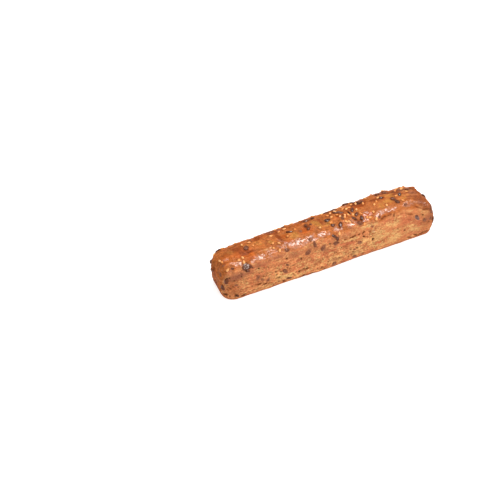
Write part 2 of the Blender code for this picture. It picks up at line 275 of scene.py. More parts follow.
# Raised edges of dough: from along and across, to along and across, width, height
RIDGES = (
    (116, 22.8, 131, 22.1, 0.8, 0.35), (166, 16, 176, 14.8, 0.7, 0.4), (176, 14.8, 183, 17.5, 0.7, 0.4),
    (170.5, 15.3, 176.5, 15.4, 0.7, 0.3), (176.5, 15.4, 182.5, 18.4, 0.7, 0.35),
    (172, 18.6, 176.5, 18.6, 0.9, 0.3), (178, -3, 187, 0.6, 0.7, 0.4), (187, 0.6, 198, 5, 0.7, 0.4),
    (178.9, 9.1, 181.2, 8.2, 0.7, 0.4), (181.2, 8.2, 187, 9, 0.7, 0.45), (187.4, 11, 190.7, 13, 0.8, 0.4),
    (190.7, 13, 195, 15, 0.8, 0.4), (188, -5.2, 199, -2, 0.6, 0.4), (187, 14, 195, 10, 0.5, 0.25),
    (164.6, 18.3, 169.1, 14.5, 0.6, 0.5), (183, 9.5, 198, 18.5, 0.7, 0.35), (186, 6.5, 199, 14, 0.7, 0.3),
    (78, 37.6, 90, 36.6, 0.7, 0.25), (140.5, 22.6, 147, 22.8, 0.9, 0.3),
)

# Lines where the glaze gleams: from along and across, to along and across, width, strength
GLINTS = (
    (39.4, 14.9, 40.2, 14.2, 0.7, 1.2), (42.3, 13.6, 44.2, 12.6, 0.6, 0.9),
    (44.5, 13.6, 50.8, 12.4, 1.5, 0.6), (74.6, 10.8, 74, 13.2, 1.1, 0.6), (79.6, 11, 78.4, 13.6, 0.5, 0.8),
    (80.4, 9.4, 83.3, 9.7, 0.7, 1), (83.4, 9, 81.2, 14, 0.55, 1), (85.1, 11.4, 90.4, 10.6, 0.6, 0.9),
    (86.3, 14.6, 89.2, 14.9, 0.5, 0.8), (92.6, 15.1, 97, 12.8, 0.9, 0.6), (95.4, 7.4, 96.6, 10.2, 0.7, 0.4),
    (99.2, 11.4, 100.8, 11.2, 0.6, 0.6), (101, 13.3, 103.6, 11.8, 0.8, 0.8), (104.2, 12.2, 106, 12, 1, 1.2),
    (107.6, 13.7, 108.2, 12.8, 0.6, 0.6), (152.4, 11.9, 156, 10, 0.6, 0.7),
    (156.4, 8.4, 158.2, 8.9, 0.5, 0.8), (158, 9.2, 157, 10.8, 0.45, 0.8),
    (157, 10.8, 155.2, 13.4, 0.45, 0.9), (161, 9.7, 163.7, 9, 0.5, 1), (163.7, 9, 165.2, 9.9, 0.5, 0.85),
    (163.2, 11.7, 165.4, 11.5, 0.45, 0.75), (165.4, 11.5, 169.1, 10.5, 0.45, 0.85),
    (169.1, 10.5, 172, 10.6, 0.5, 0.9), (168, 12.5, 169, 12.3, 0.6, 0.7),
    (178.9, 9.1, 181.2, 8.2, 0.4, 0.5), (181.2, 8.2, 187, 9, 0.4, 0.6), (187.4, 11, 190.7, 13, 0.8, 0.35),
    (190.7, 13, 194.7, 14.9, 0.7, 0.35),
)

# Open pores: place along, place across, reach along, reach across, depth
PORES = (
    (144.4, 29.2, 1, 1.1, 1.5), (136.2, 24, 1.1, 0.8, 0.6), (29, 28.6, 1.2, 0.8, 0.35),
    (72.2, 27.8, 0.9, 0.7, 0.6), (117.5, 37.6, 0.9, 0.6, 0.5), (57, 28.5, 1.1, 0.7, 0.6),
    (59.6, 35, 0.9, 0.7, 0.8), (62, 32.7, 1, 0.6, 0.6), (79, 24.5, 0.7, 0.9, 1),
    (83.2, 30.3, 0.9, 0.5, 0.6), (80.3, 30.4, 0.7, 0.5, 0.5), (98.7, 31.4, 0.6, 0.6, 0.8),
    (96.4, 34.6, 0.7, 0.5, 0.6), (86, 25.6, 0.9, 0.7, 0.6), (71.5, 28, 1, 0.7, 0.5),
    (99, 32.6, 0.8, 0.7, 0.6), (96.8, 31.4, 0.8, 0.5, 0.5), (102.2, 30.8, 0.8, 0.5, 0.5),
    (103, 38, 0.7, 0.8, 0.6), (42.5, 22, 0.9, 0.5, 0.5), (35.5, 30.6, 1.1, 0.6, 0.5),
    (27.3, 35.7, 1.2, 0.6, 0.6), (139.3, 30.5, 0.6, 1.1, 0.5), (141.5, 31.2, 0.5, 1.2, 0.5),
    (151.5, 22.5, 0.9, 0.7, 0.5), (154.5, 24, 0.8, 0.6, 0.4), (162.5, 31, 0.9, 0.5, 0.5),
    (160.5, 32.3, 0.8, 0.5, 0.4),
)

# Patches of colour and of thick glaze: place along, place across, reach along, reach across, strength
PATCHES = {
    "browner": (
        (0, 0, 14, 90, 0.45), (6, 12, 9, 17, -0.4), (20, 27, 13, 13, 0.55), (10, -4, 18, 16, 0.2),
        (34, -1, 12, 12, 0.1), (38.5, 3.2, 5.5, 4, 1.5), (37, -3, 6.5, 6, 0.7), (68.5, -10, 6.5, 4.5, 1.3),
        (58, 0.5, 4, 3.5, 0.6), (70.3, -1, 2.8, 8, 1.1), (92, 2, 4, 4, 0.5), (76.5, 2, 2.5, 2.5, 0.6),
        (96.5, -2, 4, 6, 0.7), (110, -3, 2.5, 8, 0.45), (20, 6, 10, 4, 0.3), (38, 26, 9, 5, 0.2),
        (129, 16, 9, 3, 0.4), (21, 32, 8, 3, 0.25), (195, 11.5, 6, 3, 0.3), (165, -7.5, 9, 4, 0.3),
        (195, 32, 5, 3, 0.2), (101, -9, 8, 3, 0.8), (138, -7, 9, 5, 0.6), (147, 4, 8, 6, 0.5),
        (149, -7, 7, 6, 1.2), (55, -8, 9, 4, 0.6), (45, 4.5, 5, 3, 0.5), (160, -5, 7, 3, 0.9),
        (24, 36, 14, 3, 0.3), (150.5, -9.5, 8, 5, 1.8), (75, -9, 30, 3.5, 0.3), (128, 0, 8, 3, 1.2),
        (57, -9, 10, 3, 0.25), (90, 36, 9, 3, 0.4), (145, 28, 11, 4, 0.25), (9, 6, 9, 12, 0.3),
        (168, -4, 7, 3, 0.55), (183, -8, 9, 4, 0.4), (184, 19, 9, 7, 0.25), (111, 36, 10, 3, 0.25),
        (57, 32, 9, 3, 0.15), (39, -8.5, 9, 4, 0.3), (163, 12, 8, 2.5, 0.2), (198, 20.5, 6, 3, 0.4),
        (108, 36, 10, 3, 0.3), (57, 36, 9, 3, 0.4), (42, 3, 8, 3.5, 0.3), (183, -4, 8, 4, 0.9),
        (192, 15, 4, 4, 0.5), (40, 33, 11, 6, 0.25), (183, 22, 8, 5, 0.25), (136.5, 12, 6, 4.5, 0.7),
        (173, -10.5, 5, 3, 0.9), (193.5, 11, 6.5, 7, 0.8), (199, 16.5, 5, 4, 0.6), (194.3, 17.5, 5, 3, 0.8),
        (186, 39.5, 12, 2.5, 0.2), (126.5, -6, 3, 3, 0.6), (33.5, -5, 3.5, 2.5, 0.6), (213, 0, 18, 90, 1.3),
        (196, 27, 11, 13, 0.45), (188, 33, 9, 8, 0.35), (201, -3, 7, 8, 0.8), (196, 6, 8, 7, 0.15),
        (39, 36, 9, 2.6, 0.3),
    ),
    "golden": (
        (81.5, 1.5, 7.5, 9.5, 0.9), (57, 0, 7, 3, 0.5), (57, 8, 8, 2.5, 0.9), (46, -4, 9, 3, 0.5),
        (111, 2, 8, 6, 0.6), (184, 4.5, 9, 4, 0.5), (62.5, 2, 4, 5, 0.8), (29, -2, 4.5, 6, 0.6),
        (104.8, -2, 5, 9, 1.1), (127, -2, 5, 5, 0.6), (143.5, 0.5, 3.5, 4.5, 0.6), (134, -9, 10, 4, 0.6),
        (161, 5, 7, 6, 0.5), (176, -5.5, 10, 5, 0.8), (183, -1, 8, 7, 0.4), (171, 1, 5, 6, 0.9),
        (116, 3, 5, 6, 0.6), (53.5, -3, 4, 6, 0.6), (40, -4, 8, 3, 0.3), (165, 0, 9, 3, 0.4),
    ),
    "amber": (
        (24, 3, 13, 10, 0.6), (39, 3.5, 11, 10, 1.2), (57, -8.5, 11, 4.5, 0.9), (75, -8.5, 11, 4, 0.65),
        (75, 0, 10, 4, 1), (93, 2.5, 10, 6.5, 1.1), (93, -8.5, 10, 4, 0.75), (129, 0, 10, 4, 1.1),
        (39, -8.5, 10, 4, 0.6), (147, -6, 10, 6, 1.4), (40, 12, 8, 3, 0.6), (147, 7.5, 9, 3.5, 1.1),
        (75, 7.5, 10, 2.8, 0.7), (128, -1, 8, 3, 0.5),
    ),
    "pale": (
        (59, 34, 8, 5, 0.6), (147, 33, 9, 4.5, 0.85), (129, 32, 9, 3, 0.6), (111, 28, 8, 2.5, 0.4),
        (147, 16, 8, 2.4, 0.9), (195, 20, 5, 2.5, 0.4), (57, 39.5, 9, 1.8, 0.4), (182, 39.5, 8, 1.8, 0.4),
        (111, 36.5, 10, 4, 0.45), (111, 24, 9, 2.5, 0.3), (150, 24, 14, 2.5, 0.35),
        (165, 21.5, 9, 4.5, 0.4), (75, 28, 9, 2.5, 0.2), (175, 28, 18, 3, 0.3), (57, 32, 9, 3, 0.3),
        (135, 36, 16, 2.5, 0.25), (182, 32, 8, 3.5, 0.8), (60, 36, 14, 3, 0.25), (88, 36, 16, 2.6, 0.25),
        (93, 32, 9, 3, 0.4), (182, 28.5, 8, 3, 0.5), (75, 28, 9, 4, 0.3), (57, 28, 9, 3, 0.25),
        (130, 36, 10, 2.6, 0.4), (67, 36.5, 9, 3, 0.9), (78, 34, 9, 1.8, 0.8), (77.5, 38.6, 7, 1.8, 1.2),
        (106, 35.5, 11, 3.5, 0.3), (118, 34.8, 11, 3, 0.35), (128, 35.5, 9, 2.5, 0.4),
        (147, 20, 9, 4.5, 0.4), (163, 20, 9, 3, 0.7), (174, 19, 4.5, 2.4, 0.2), (124, 22.8, 9, 1.4, 0.8),
        (152, 28, 10, 5, 0.9), (163, 28.5, 8, 4, 0.5), (151, 37, 11, 2.5, 0.7), (165, 35, 9, 5.5, 1.1),
        (17, 27, 2.5, 3.5, 0.6), (46, 34.5, 9, 3, 0.4), (137, 28.5, 6, 3.5, 0.8), (141, 17, 8, 1.6, 0.8),
        (171, 18, 4, 1.2, 0.7), (187, 34, 8, 3, 0.4), (111, 36, 10, 2.6, 0.3),
    ),
    "ruddy": (
        (90, 30, 5, 5, 0.8), (123, 25.5, 9, 3, 0.8), (112, 27.5, 6, 3.5, 0.5), (151, 33.8, 5, 1.6, 1.3),
        (175, 22, 8, 4.5, 0.9), (173.5, 35.5, 3.5, 2, 0.7), (187, 28, 9, 7, 0.6), (48, 18.8, 12, 2.5, 0.6),
        (40, 27, 12, 4, 0.4), (128, 39.9, 30, 1.3, 1), (101, 38, 1.3, 1.5, 1.6),
        (127.3, 32.7, 1.8, 1.2, 1.2), (65, 30.5, 4.5, 3.5, 0.4), (160, 18.5, 10, 3, 0.5),
        (22, 28, 9, 3, 0.6),
    ),
    # Painted dark reflection: a purple-brown band under the shoulder, strongest near the -X end; the same
    # colour darkens a few patches low on the wall and at the +X end
    "bloom": (
        (26, 21, 11, 4, 1.2), (36, 21.3, 4.5, 1.4, 0.6), (44, 18.3, 12, 2.2, 0.6), (60, 17.2, 10, 2, 0.8),
        (101, 24, 6, 2.5, 0.4), (90, 17.5, 8, 3, 0.4), (74, 19, 11, 3.2, 0.6), (194, 27.5, 6, 4.5, 0.7),
        (199, 22, 6, 6, 0.7), (182, 12, 7, 2.6, 0.6), (118, 18.5, 11, 3, 0.35), (188.5, -6, 3.5, 3, 0.6),
        (191, 12.5, 5, 2.6, 0.4), (48, 16, 18, 2.2, 0.25), (111, 36, 9, 2.5, 0.5), (129, 36, 9, 2.5, 0.25),
        (147, 20, 8, 2.2, 0.2), (194.5, 1, 5.5, 4.5, 0.8),
    ),
    "scorched": (
        (34.2, 16.6, 4.2, 4.2, 1.6), (68.5, -10, 5, 3, 0.35), (48.6, -8.9, 2.6, 1.2, 0.9),
        (49.9, -6.8, 1, 2, 0.9), (96.3, -1, 3, 4, 0.5), (100.5, -9, 4.5, 2.4, 0.8),
        (136.3, 13, 4, 2.6, 0.7), (150, -9, 6, 3, 1.2), (184, -8, 11, 4, 0.5), (195, -5.5, 8, 5.5, 0.6),
        (194, 2, 6, 4, 0.3), (111.8, 17.5, 2.4, 3.4, 0.7), (176, 3, 2.6, 5, 0.5), (14.5, 38.8, 3.4, 2, 1),
        (23.4, 38.7, 2.2, 1.3, 0.9), (30.3, 39.9, 2.8, 1.1, 0.8), (199, 7.5, 3.5, 3, 0.6),
        (191.5, 10, 2.5, 1.6, 0.4), (62, 32.6, 1.6, 0.9, 0.7), (146, -8.2, 9, 2.8, 0.45),
    ),
    # Painted highlights: whitish flecks where the glaze and crust shine
    "ashen": (
        (34.3, 16, 2.7, 2.7, 1.3), (22, 3.5, 1.6, 1.8, 0.6), (27.5, 8.5, 1.3, 1.3, 0.7),
        (25.5, 11.5, 1.4, 1.4, 0.6), (24.5, 7, 1.3, 1.2, 0.6), (16.5, 12, 1.5, 1.5, 0.6),
        (27.5, 15.5, 1.5, 1.6, 0.6), (19, 8.5, 1.4, 1.4, 0.6), (69.5, 14.3, 1.6, 1.2, 0.5),
        (145, 22.2, 2.4, 2, 0.7), (121, 18.6, 1.2, 1.4, 0.5), (155.5, 21.8, 3, 0.9, 0.5),
        (194.5, 16, 4, 2.4, 0.8), (194.5, 0, 4, 2.4, 0.45),
    ),
    "thick glaze": (
        (22, 3.5, 3, 3, 0.8), (30, 13, 4, 3, 0.5), (30.3, 12.6, 1.8, 1.8, 1.2), (40, 14.4, 2, 1.6, 0.5),
        (46.5, 12.8, 7.5, 3.8, 0.7), (57, 12, 5, 3, 0.5), (57, 8, 8, 2.5, 0.3), (24, 11.9, 6, 3.2, 0.75),
        (20.5, 15.5, 4, 2.5, 0.4), (129, 7.5, 9, 2.5, 0.15), (165, 7.5, 8, 2, 0.12),
        (147, 16, 6, 2.5, 0.45), (68.5, 3.5, 2.5, 2.5, 0.6), (67.5, 11, 4, 4.5, 0.65),
        (71.5, 7.5, 2, 2.5, 0.7), (80, 11.9, 8.5, 4.8, 1.4), (90, 11.8, 5.5, 3.2, 1),
        (94.5, 14.5, 4.5, 2, 0.7), (72, 15, 10, 3, 0.35), (57, 15, 8, 3, 0.35), (84, 13.5, 8, 4, 0.9),
        (182, 11.5, 6, 3, 0.3), (103.5, 11.9, 6, 2.8, 1.1), (117, 12, 4.5, 3, 1), (129, 13, 5, 2.5, 1.1),
        (129, 11.9, 7, 3, 0.25), (142.3, 12.5, 3.5, 4.5, 1.2), (146.5, 7, 4.5, 3.5, 0.9),
        (145, 18, 2.5, 1.5, 0.6), (153.5, 13, 3.5, 2.5, 0.7), (157, 10, 4, 3.5, 0.3),
        (162.5, 10.8, 8, 2.4, 0.15), (178, 10.2, 4, 1.6, 0.3), (145, 21.5, 3, 3, 0.5),
    ),
}

# Patches that stay strong nearly to their edge, and the low power by which they fade
FULL_PATCHES = ("ashen", "thick glaze")
FULL_PATCH_POWER = 0.7

# Linseeds on the seen side: along, across, turn in degrees from the stick's length, length share, width
# share, veil of dough
LINSEEDS = (
    (42.2, -1.6, -52, 1.15, 1.25, 0.3), (31.4, 16.9, 85, 0.65, 0.45, 0.4),
    (34.6, 19.6, 10, 0.75, 0.45, 0.3), (37.6, 17.2, 65, 0.65, 0.5, 0.45), (24.3, 14.5, 20, 0.5, 0.55, 0.1),
    (17.4, 21.9, -55, 0.95, 1.05, 0.15), (12.9, 29.6, -76, 1, 1.2, 0.14), (13.4, 13.8, -60, 0.6, 0.8, 0.6),
    (19, 8.6, 0, 0.45, 0.5, 0.75), (8, -10, 90, 1, 1, 0.5), (13, -12, 90, 0.9, 1, 0.5),
    (22, -13, 60, 1, 1, 0.1), (25.2, 39.2, 45, 0.5, 0.6, 0.2), (24.5, 28.2, 10, 0.6, 0.55, 0.7),
    (41.3, 28, -65, 0.95, 1.1, 0.65), (44.9, 31, 20, 0.55, 0.75, 0.75), (50, 33, -60, 0.75, 0.95, 0.65),
    (66.2, 25.2, 25, 0.55, 0.55, 0.35), (64.6, 30.9, 45, 1.05, 1, 0.6), (67.6, 38.2, 18, 1.05, 0.8, 0.35),
    (69, 14.6, 10, 0.75, 0.9, 0.5), (81.5, -2.7, 25, 0.95, 0.8, 0.2), (96.7, -3.4, -60, 0.8, 0.7, 0.3),
    (95.9, 1.8, -45, 0.85, 0.75, 0.15), (100.3, -1.8, 80, 0.45, 0.6, 0.4), (89, 1.5, -45, 0.6, 0.7, 0.9),
    (100.3, -9, 0, 0.9, 1, 0.35), (106.8, -9.6, -15, 0.7, 0.7, 0.15), (69, -10, 0, 1, 1, 0.6),
    (91.5, 12, -50, 1, 0.9, 0.7), (92.5, 17, -80, 0.85, 0.9, 0.55), (85.9, 20.5, -30, 0.9, 1.15, 0.6),
    (84.2, 21.4, 20, 0.6, 0.95, 0.7), (99.2, 21.3, -35, 0.95, 1.2, 0.6), (111, 16.2, 35, 0.85, 0.75, 0.1),
    (112.8, 18.5, -60, 0.6, 0.7, 0.1), (110.7, 21.2, -10, 0.85, 1, 0.5), (108.5, 39.2, -25, 0.8, 1, 0.5),
    (115, -0.7, -5, 0.9, 1.2, 0.03), (115.3, 6.8, -20, 0.65, 1, 0.05), (120.7, 9, -53, 1.15, 0.95, 0.05),
    (126.2, 3.2, -65, 1, 0.8, 0.55), (125.4, -6.2, 35, 0.7, 0.5, 0.1), (129.3, -4.5, 45, 1, 1, 0.1),
    (135.2, -1, -85, 0.9, 0.55, 0.15), (139.7, -3.2, -52, 1.2, 0.85, 0.05),
    (139.5, 3.3, -50, 1.1, 0.85, 0.05), (134.4, 7.3, 80, 1.1, 0.85, 0.2),
    (140.5, 8.7, -65, 1.15, 0.85, 0.03), (136.3, 13.2, 15, 0.85, 1.1, 0.55), (127.8, -11, 5, 1, 1, 0.3),
    (120.5, -11.2, 0, 1, 1, 0.35), (139.5, -12, 0, 1, 1, 0.2), (151, -9.6, -20, 0.9, 0.9, 0.45),
    (144.8, -12.6, 10, 0.9, 0.9, 0.2), (168.8, -5.2, 5, 0.7, 0.75, 0.05), (168.2, -10.4, 0, 0.9, 0.8, 0.25),
    (175.5, -9.8, 20, 0.85, 1, 0.5), (175.6, 1.2, 75, 0.9, 1.2, 0.3), (176.2, 5.2, -80, 0.9, 1.1, 0.3),
    (179.5, 11.2, -40, 0.6, 0.8, 0.6), (183.8, -1.8, -50, 0.85, 0.85, 0),
    (193.4, -4.2, 20, 0.75, 0.9, 0.25), (188, -8.4, 20, 0.7, 0.7, 0.65), (184.3, 22.8, 52, 1, 1, 0),
    (202.6, 6.3, 10, 1, 1, 0.05), (198.6, 19.2, 90, 0.8, 0.9, 0.6), (200, 31, 90, 1, 1, 0.35),
    (132.3, 27.9, 20, 0.8, 1, 0.65), (127.8, 39.3, 10, 0.8, 0.75, 0.6), (127.3, 32.7, 20, 0.45, 0.5, 0.8),
    (154, 13.4, -30, 0.5, 0.6, 0.6), (145, 18.2, 10, 0.5, 0.6, 0.8), (191, 27.1, 60, 0.75, 1, 0.55),
    (197, 27.8, 60, 0.75, 0.9, 0.5), (198.8, 22.6, 20, 0.8, 0.8, 0.55),
)

# Sesame seeds on the seen side: along, across, turn in degrees from the stick's length
SESAME_SEEDS = (
    (41, -7, -60), (48, -1.6, -62), (47.6, -6.7, 10), (34.6, 8, -80), (31.2, 9.4, -40), (33.8, 12.4, -70),
    (18.6, 1, 88), (20.8, 13.9, -25), (26, -13, 0), (19.5, 4.6, 80), (56, -12, -50), (66, -4.8, 0),
    (74.6, -7.4, -30), (80.2, -8.4, 10), (86.8, -3.6, -50), (77.4, 1.2, -45), (66.6, 6.6, 60),
    (60, 9.2, -60), (63.2, 13, -60), (74, -12.2, 0), (104.4, 5, -48), (109, -13, 10), (116.2, -10.8, -15),
    (122, -8, -50), (126.6, -8, 20), (125.2, -3, -40), (126.2, 0, -45), (134, -8.4, -30),
    (136.6, -6.8, -25), (134, -11.2, 20), (130.4, 0.2, -60), (133, 1.4, 80), (136.6, 2.4, -50),
    (143, -9.8, -40), (146.6, -9, -60), (151.4, -5.6, -62), (142.6, -1.8, -60), (161.8, -2.4, -62),
    (158, 0.4, -50), (152.6, 7, -60), (126.4, 8.6, 60), (128.6, 9.6, 70), (144.6, 10.2, -60),
    (146.8, 11.4, 5), (139.4, 14.8, -55), (150.8, 14, -60), (115.8, 15.4, -60), (115.2, 4, 0),
    (166.6, -7, -20), (166.4, 5, -60), (181, 6.2, 40), (180.2, -1.4, -20), (190.6, -8.2, 0),
    (191.2, -2.4, 20), (185, -9, -50), (176, -13, 0), (204, 11, 40), (139.6, -7.2, 10), (120, -2.8, -30),
    (62.4, 4.2, -40), (131, -12, 20), (142, -12.2, 10), (139, -13.4, 0), (121, -12.6, 0), (118.4, -6, -20),
    (192.4, -9.6, 10), (128.8, 2.6, -50), (142.6, 4.6, 60),
)

# Seeds drawn on the unseen side: how many, from how far across, down how far
UNSEEN = {"linseed": (16, 18.0, 22.0), "sesame": (26, 12.0, 10.0)}
CROWD_AT_TOP = 1.5
UNSEEN_VEIL = 0.5
UNSEEN_VEIL_ACROSS = (14.0, 26.0)

# Number that starts the random draws, and what each piece adds to it
DRAW = 7
OWN_DRAWS = {"crust": 1, "linseed": 2, "sesame": 3}

# Forms of the seeds: narrowing of the tip, flatness and lift out of the crust
SEED_FORMS = {"linseed": (0.28, 0.35, 0.42), "sesame": (0.36, 0.2, 0.38)}
SEED_RINGS = 9
SEED_TURNS = 12
TIP_CURVE = 0.25
SEED_TILT = 0.10
SEED_THICKNESS = (0.9, 1.15)
SUNK_IN_WALL = 0.3
SUNK_BY_VEIL = 0.32
THINNER_BY_VEIL = 0.4
FOOTPRINT = ((0, 0), (1, 0), (-1, 0), (0, 1), (0, -1))

# Steps of the crust's grid: about half a millimetre where it shows
FACE_STEPS = 9
END_STEPS = 36
BODY_STEPS = 350
TOP_STEPS = 19
SHOULDER_STEPS = 31
WALL_STEPS = 36
BASE_ROUND_STEPS = 5
BASE_STEPS = 5

# Share of the bake's picture left free at its edges, and the heights of its strips
MAP_MARGIN = 0.008
FRONT_STRIP = (0.01, 0.43)
BACK_STRIP = (0.45, 0.87)
BASE_STRIP = (0.89, 0.99)

# Speckles of the materials: size of the grains in metres, stretch along each axis, detail
SPECKLES = {
    "mottle": (0.0045, (1.6, 1.0, 1.0), 4.0),
    "streak": (0.0016, (4.0, 1.0, 0.8), 3.0),
    "tint": (0.0013, (1.3, 1.0, 0.9), 2.0),
    "fleck": (0.0010, (2.0, 1.0, 0.8), 2.0),
    "grain": (0.0005, (1.0, 1.0, 1.0), 2.0),
    "gleam": (0.0010, (0.8, 2.2, 2.2), 2.0),
    "linseed grain": (0.0007, (1.0, 1.0, 1.0), 3.0),
    "linseed glint": (0.0015, (1.0, 1.0, 1.0), 1.0),
    "sesame grain": (0.0006, (1.0, 1.0, 1.0), 3.0),
}
SPECKLE_ROUGHNESS = 0.55

# Depth of the finest bumps, in metres
CRUST_BUMP = 0.0004
SEED_BUMP = 0.00006

# Surfaces of the materials, by the names of the shader's sockets
SURFACES = {
    "crust": {"Specular_IOR_Level": 0.03, "Coat_Roughness": 0.24, "Coat_IOR": 1.8},
    "linseed": {"Specular_IOR_Level": 0.05, "Coat_Roughness": 0.15, "Coat_IOR": 1.8},
    "sesame": {"Roughness": 0.5, "Specular_IOR_Level": 0.15, "Coat_Weight": 0.2, "Coat_Roughness": 0.2},
    "floor": {"Roughness": 0.9, "Specular_IOR_Level": 0.1},
}

# Studio: direction, distance, width and depth of each softbox, then the floor, the lens and the picture
SOFTBOXES = {
    "overhead": ((0.418, 0.19, 0.88), 1.6, 0.6, 1.35),
    "left": ((-0.30, -0.75, 0.60), 1.9, 1.6, 1.6),
    "right": ((0.45, -0.75, 0.60), 1.9, 1.6, 1.6),
    "back": ((-0.35, 0.70, 0.75), 1.9, 1.6, 1.6),
}
FLOOR_SIZE = 6.0
SENSOR = 36.0
CLIP = (0.05, 50.0)
PICTURE_ASIDE = 0.0634
PICTURE_UP = -0.0115


def metres(name, words, default):
    """A length that a user can change, shown in the scene's units."""
    return FloatProperty(name=name, description=words, default=default, min=0.0, unit="LENGTH", precision=5)


def degrees(name, words, default):
    """An angle that a user can change."""
    return FloatProperty(name=name, description=words, default=math.radians(default), subtype="ANGLE")


def amount(name, words, default):
    """A plain number from 0 up that a user can change."""
    return FloatProperty(name=name, description=words, default=default, min=0.0)


def colour(name, words, default):
    """A linear colour that a user can change."""
    return FloatVectorProperty(
        name=name, description=words, default=default, size=3, min=0.0, max=1.0, subtype="COLOR"
    )


class StickSizes(bpy.types.PropertyGroup):
    """Driving sizes of the bread stick."""

    length: metres("Length", "From end to end", 0.191)
    width: metres("Width", "From side to side at the middle", 0.0375)
    height: metres("Height", "From the flat base to the top, without its crown", 0.0285)
    end_round: metres("End round", "Radius between the sides and the ends", 0.0118)
    shoulder_round: metres("Shoulder round", "Radius between the top and the sides", 0.0096)
    base_round: metres("Base round", "Radius between the base and the sides", 0.002)
    crown: metres("Crown", "How far the top rises in its middle", 0.0015)
    side_bulge: metres("Side bulge", "How far the sides stand out half way up", 0.0008)


class SeedSizes(bpy.types.PropertyGroup):
    """Sizes of the seeds."""

    linseed_length: metres("Linseed length", "From tip to round end", 0.0060)
    linseed_width: metres("Linseed width", "Across its flat side", 0.0033)
    linseed_thickness: metres("Linseed thickness", "Through its flat side", 0.0016)
    sesame_length: metres("Sesame length", "From tip to round end", 0.0033)
    sesame_width: metres("Sesame width", "Across its flat side", 0.0018)
    sesame_thickness: metres("Sesame thickness", "Through its flat side", 0.0010)
    draw: IntProperty(name="Draw", description="Number that starts the random draws", default=DRAW, min=0)


class BakeColours(bpy.types.PropertyGroup):
    """Colours of the crust and of the seeds."""

    glaze: colour("Glazed crust", "Egg-washed top", (0.375, 0.107, 0.026))
    deep: colour("Browned crust", "Where the top took most heat", (0.205, 0.043, 0.010))
    golden: colour("Golden crust", "Thin blisters of the top", (0.43, 0.165, 0.036))
    amber: colour("Amber crust", "Redder glaze of the top", (0.405, 0.088, 0.014))
    dough: colour("Side dough", "Layers that show on the sides", (0.44, 0.154, 0.059))
    pale: colour("Pale dough", "Layers that took least heat", (0.525, 0.286, 0.108))
    ruddy: colour("Ruddy dough", "Layers that took more heat", (0.40, 0.108, 0.046))
    toasted: colour("Toasted dough", "Sides and ends that took most heat", (0.275, 0.080, 0.026))
    # Painted dark reflection under the shoulder, also used to darken a few patches
    bloom: colour("Painted dark reflection", "Painted dark reflection under the shoulder", (0.215, 0.070, 0.036))
    scorched: colour("Scorched spots", "Purple-brown spots of the crust", (0.085, 0.030, 0.016))
    # Painted highlights: whitish flecks of shine on the crust
    ashen: colour("Painted highlights", "Whitish painted highlights", (0.52, 0.42, 0.38))
    # Painted shade inside pores, cuts and drawn flecks
    hollow: colour("Hollows", "Inside pores and cuts", (0.045, 0.020, 0.006))
    linseed: colour("Linseed", "Dark brown seed", (0.045, 0.010, 0.003))
    linseed_light: colour("Light linseed", "Lighter brown seed", (0.14, 0.034, 0.010))
    veil: colour("Veil of dough", "Dough baked over a linseed", (0.185, 0.068, 0.036))
    sesame: colour("Sesame", "Toasted cream seed", (0.76, 0.355, 0.12))
    sesame_toasted: colour("Toasted sesame", "Browner sesame seed", (0.62, 0.205, 0.042))


class StudioSettings(bpy.types.PropertyGroup):
    """Plain floor, soft light and the camera."""

    floor: colour("Floor", "Plain pale floor", (0.62, 0.62, 0.62))
    floor_glow: amount("Floor glow", "Light that the floor gives", 1.1)
    surround: amount("Surround", "Light from all round", 0.3)
    overhead: amount("Overhead light", "Power of the softbox", 26.0)
    left: amount("Left light", "Power of the fill from the left", 21.0)
    right: amount("Right light", "Power of the fill from the right", 13.0)
    back: amount("Back light", "Power of the fill from behind", 6.0)
    distance: metres("Camera distance", "From the middle of the picture to the camera", 1.5)
    picture: metres("Picture width", "Width that the picture covers at the stick", 0.3768)
    turn: degrees("Turn", "How far the stick turns from the picture's width", 30.7)
    tilt: degrees("Tilt", "How far the camera looks down", 35.0)


